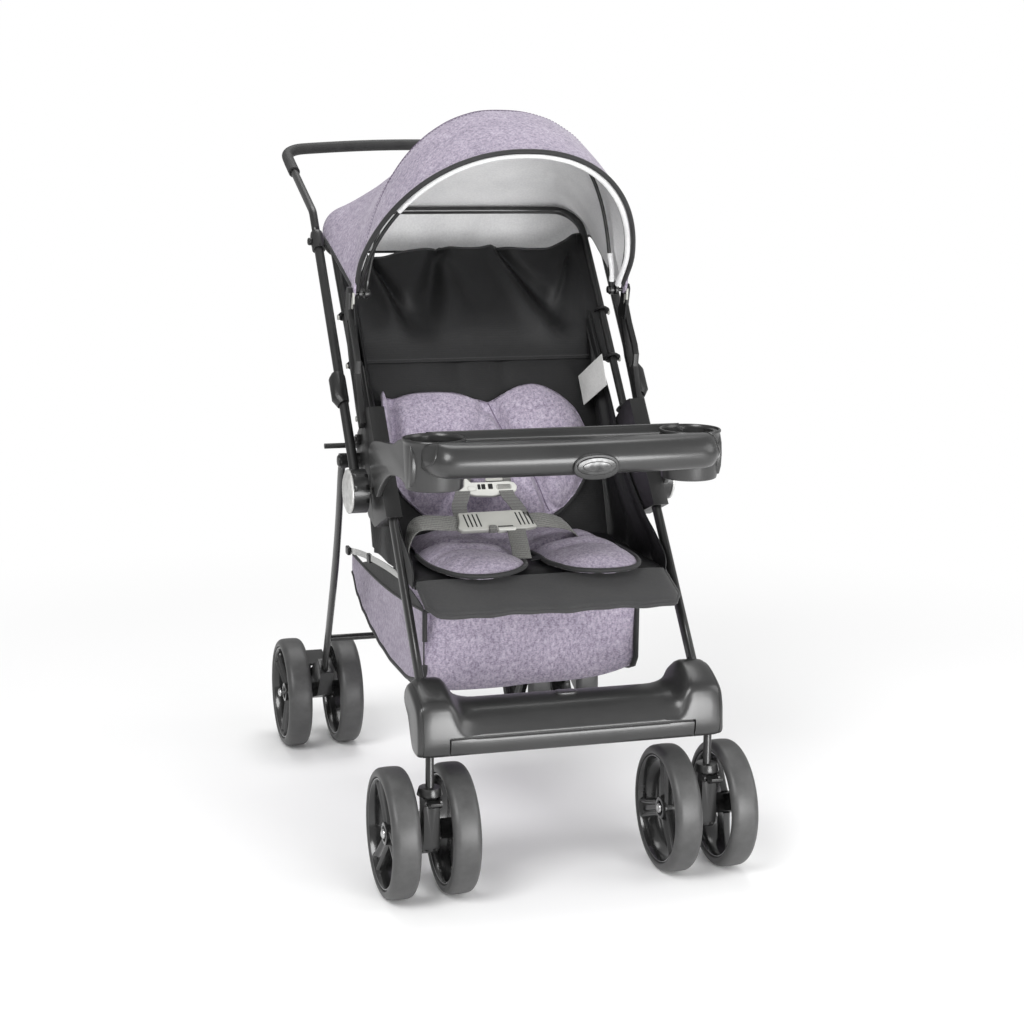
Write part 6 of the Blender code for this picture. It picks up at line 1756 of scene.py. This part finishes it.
def waist_buckle():
    """Grips whose grooves are dark strips of painted shade, a centre latch, and a lip made pale as
    a painted highlight.
    """
    dark_strips = []
    for k in range(4):
        for start, slant in ((-0.0475 + 0.0062 * k, 0.0045), (0.0270 + 0.0060 * k, 0.0055)):
            # dark strips for the grip's grooves: painted shade, not cut into the body
            groove_shade_strip = [(start, 0.0105), (start + 0.0022, 0.0105), (start + 0.0022 + slant, -0.0095),
                   (start + slant, -0.0095)]
            dark_strips.append((groove_shade_strip, 0.0035, 0.0053, DARK_PLASTIC, 0.0003, 1))
    fastener("waist_buckle", [
        (-0.0540, 0.0140), (0.0370, 0.0150), (0.0465, 0.0040), (0.0575, -0.0125),
        (0.0440, -0.0150), (-0.0510, -0.0150), (-0.0570, -0.0105), (-0.0535, 0.0000)],
        0.0050, 0.0022, BUCKLE_PLASTIC, facing((-0.0390, 0.1945, 0.4545), (0, -0.775, 0.632)),
        "frame", dark_strips + [
            (rounded_outline(0.012, 0.0085, 0.003, (-0.0075, -0.0130)), -0.002, 0.0072, WEBBING,
             0.0010, 3),
            # the lower lip: a real lip, made pale to paint the highlight along it
            (rounded_outline(0.026, 0.0050, 0.0022, (0.0125, -0.0150)), -0.003, 0.0066,
             PALE_PLASTIC, 0.0012, 3),
            (rounded_outline(0.022, 0.0016, 0.0007, (0.0110, -0.0105)), 0.004, 0.0054,
             DARK_PLASTIC, 0.0002, 1)])


def chest_clip():
    """Two halves with slots, joined in front of the child."""
    slots = [(rounded_outline(wide, 0.0085, 0.0012, (x, 0.0005)), 0.0020, 0.0038, DARK_PLASTIC,
              0.0003, 1) for x, wide in ((-0.0130, 0.0045), (-0.0065, 0.0060), (0.0040, 0.0070))]
    grip = (rounded_outline(0.0230, 0.0085, 0.0030, (0.0240, -0.0010)), 0.0020, 0.0042,
            BUCKLE_PLASTIC, 0.0007, 3)
    dark_strips = [(rounded_outline(0.0190, 0.0007, 0.0003, (0.0240, -0.0035 + 0.0019 * k)), 0.0040,
             0.0044, DARK_PLASTIC, 0.0001, 1) for k in range(4)]
    fastener("chest_clip", [
        (-0.0450, -0.0050), (-0.0390, -0.0010), (-0.0350, 0.0020), (-0.0330, 0.0140),
        (-0.0295, 0.0155), (-0.0240, 0.0085), (0.0050, 0.0080), (0.0320, 0.0085),
        (0.0400, 0.0060), (0.0440, 0.0000), (0.0420, -0.0070), (0.0340, -0.0110),
        (0.0050, -0.0145), (-0.0200, -0.0125)],
        0.0035, 0.0016, PALE_PLASTIC, facing((-0.0230, 0.2950, 0.4830), (0, -0.80, 0.60)),
        "back", slots + [grip] + dark_strips + [
            (rounded_outline(0.0130, 0.0080, 0.0035, (-0.0240, -0.0020)), 0.0020, 0.0056,
             PALE_PLASTIC, 0.0016, 3),
            (rounded_outline(0.0260, 0.0050, 0.0020, (0.0120, 0.0130)), -0.0030, 0.0020,
             BUCKLE_PLASTIC, 0.0010, 3)])


def seat_clips():
    """The strap end and small clip at the seat pad's notch."""
    spots = [(-0.002, 0.150, 0.4085), (0.010, 0.148, 0.4105), (0.0230, 0.1435, 0.4085)]
    dark = ribbon("notch_strap", smooth_path(spots, 8), [(0, 1, 0.2)] * 9, 0.0120, 0.0016,
                  BLACK_CLOTH, "frame")
    place = facing((0.0265, 0.1380, 0.4085), (0, -0.55, 0.84))
    clip = block("notch_clip", rounded_outline(0.0110, 0.0090, 0.0025), -0.0012, 0.0022,
                 BUCKLE_PLASTIC, place, 0.0008, "frame")
    combine(clip, block("notch_clip_slot", rounded_outline(0.0060, 0.0030, 0.0010), 0.0015,
                        0.0024, DARK_PLASTIC, place, 0.0002, "frame", 1))


LABEL_UPPER = (Vector((0.1540, 0.4180, 0.6240)), Vector((0.1680, 0.3540, 0.6650)))
LABEL_LOWER = (Vector((0.1540, 0.3900, 0.5842)), Vector((0.1680, 0.3290, 0.6220)))


def care_label():
    """The blank care label sewn into the wing on the child's left."""
    def place(run, share):
        here = LABEL_UPPER[0].lerp(LABEL_UPPER[1], share).lerp(
            LABEL_LOWER[0].lerp(LABEL_LOWER[1], share), run)
        here.x -= 0.0030 * arch_of(share) * arch_of(run)
        return here

    label = cloth("care_label", grid(6, 10, place), 0.0006, (CARE_LABEL,) * 3, "back")


SNAP_PROFILE = [(-0.0012, 0.0001), (-0.0012, 0.0038), (0.0004, 0.0042), (0.0014, 0.0028),
                (0.0014, 0.0001)]


def frame_ties():
    """The webbing loops that tie the tub's cloth to the back frame's posts."""
    for side, sign in SIDES:
        for k, reach in enumerate((0.115, 0.205, 0.290)):
            y, z = tube_line(reach, 0.0)
            x = sign * (BACK_X + BACK_SPLAY * reach / BACK_LENGTH)
            ring = [Vector((x + 0.0082 * math.cos(turn),
                            *beside((y, z), BACK_ANGLE, 0.0082 * math.sin(turn))))
                    for turn in turns(24) + [2 * math.pi]]
            tie = tube(f"frame_tie_{side}_{k}", ring, 0.0022, BLACK_CLOTH, "frame", sides=6,
                       flat=2.2)
            snap = turned(f"frame_snap_{side}_{k}", SNAP_PROFILE,
                          Vector((x + sign * 0.0112, y - 0.001, z - 0.003)), BUCKLE_PLASTIC,
                          "frame", 20, 35)


# Making

for make_piece in (place_camera, build_studio, finish_nodes, hard_parts, footrest, tray, emblem,
                   canopy, bow_pockets, canopy_tips, lining_slit, back_panel, curtain):
    make_piece()
for side, sign in SIDES:
    wing(side, sign)
for make_piece in (seat_base, calf_panel, seat_cushion, back_cushion, basket, harness,
                   seat_clips, care_label, frame_ties):
    make_piece()
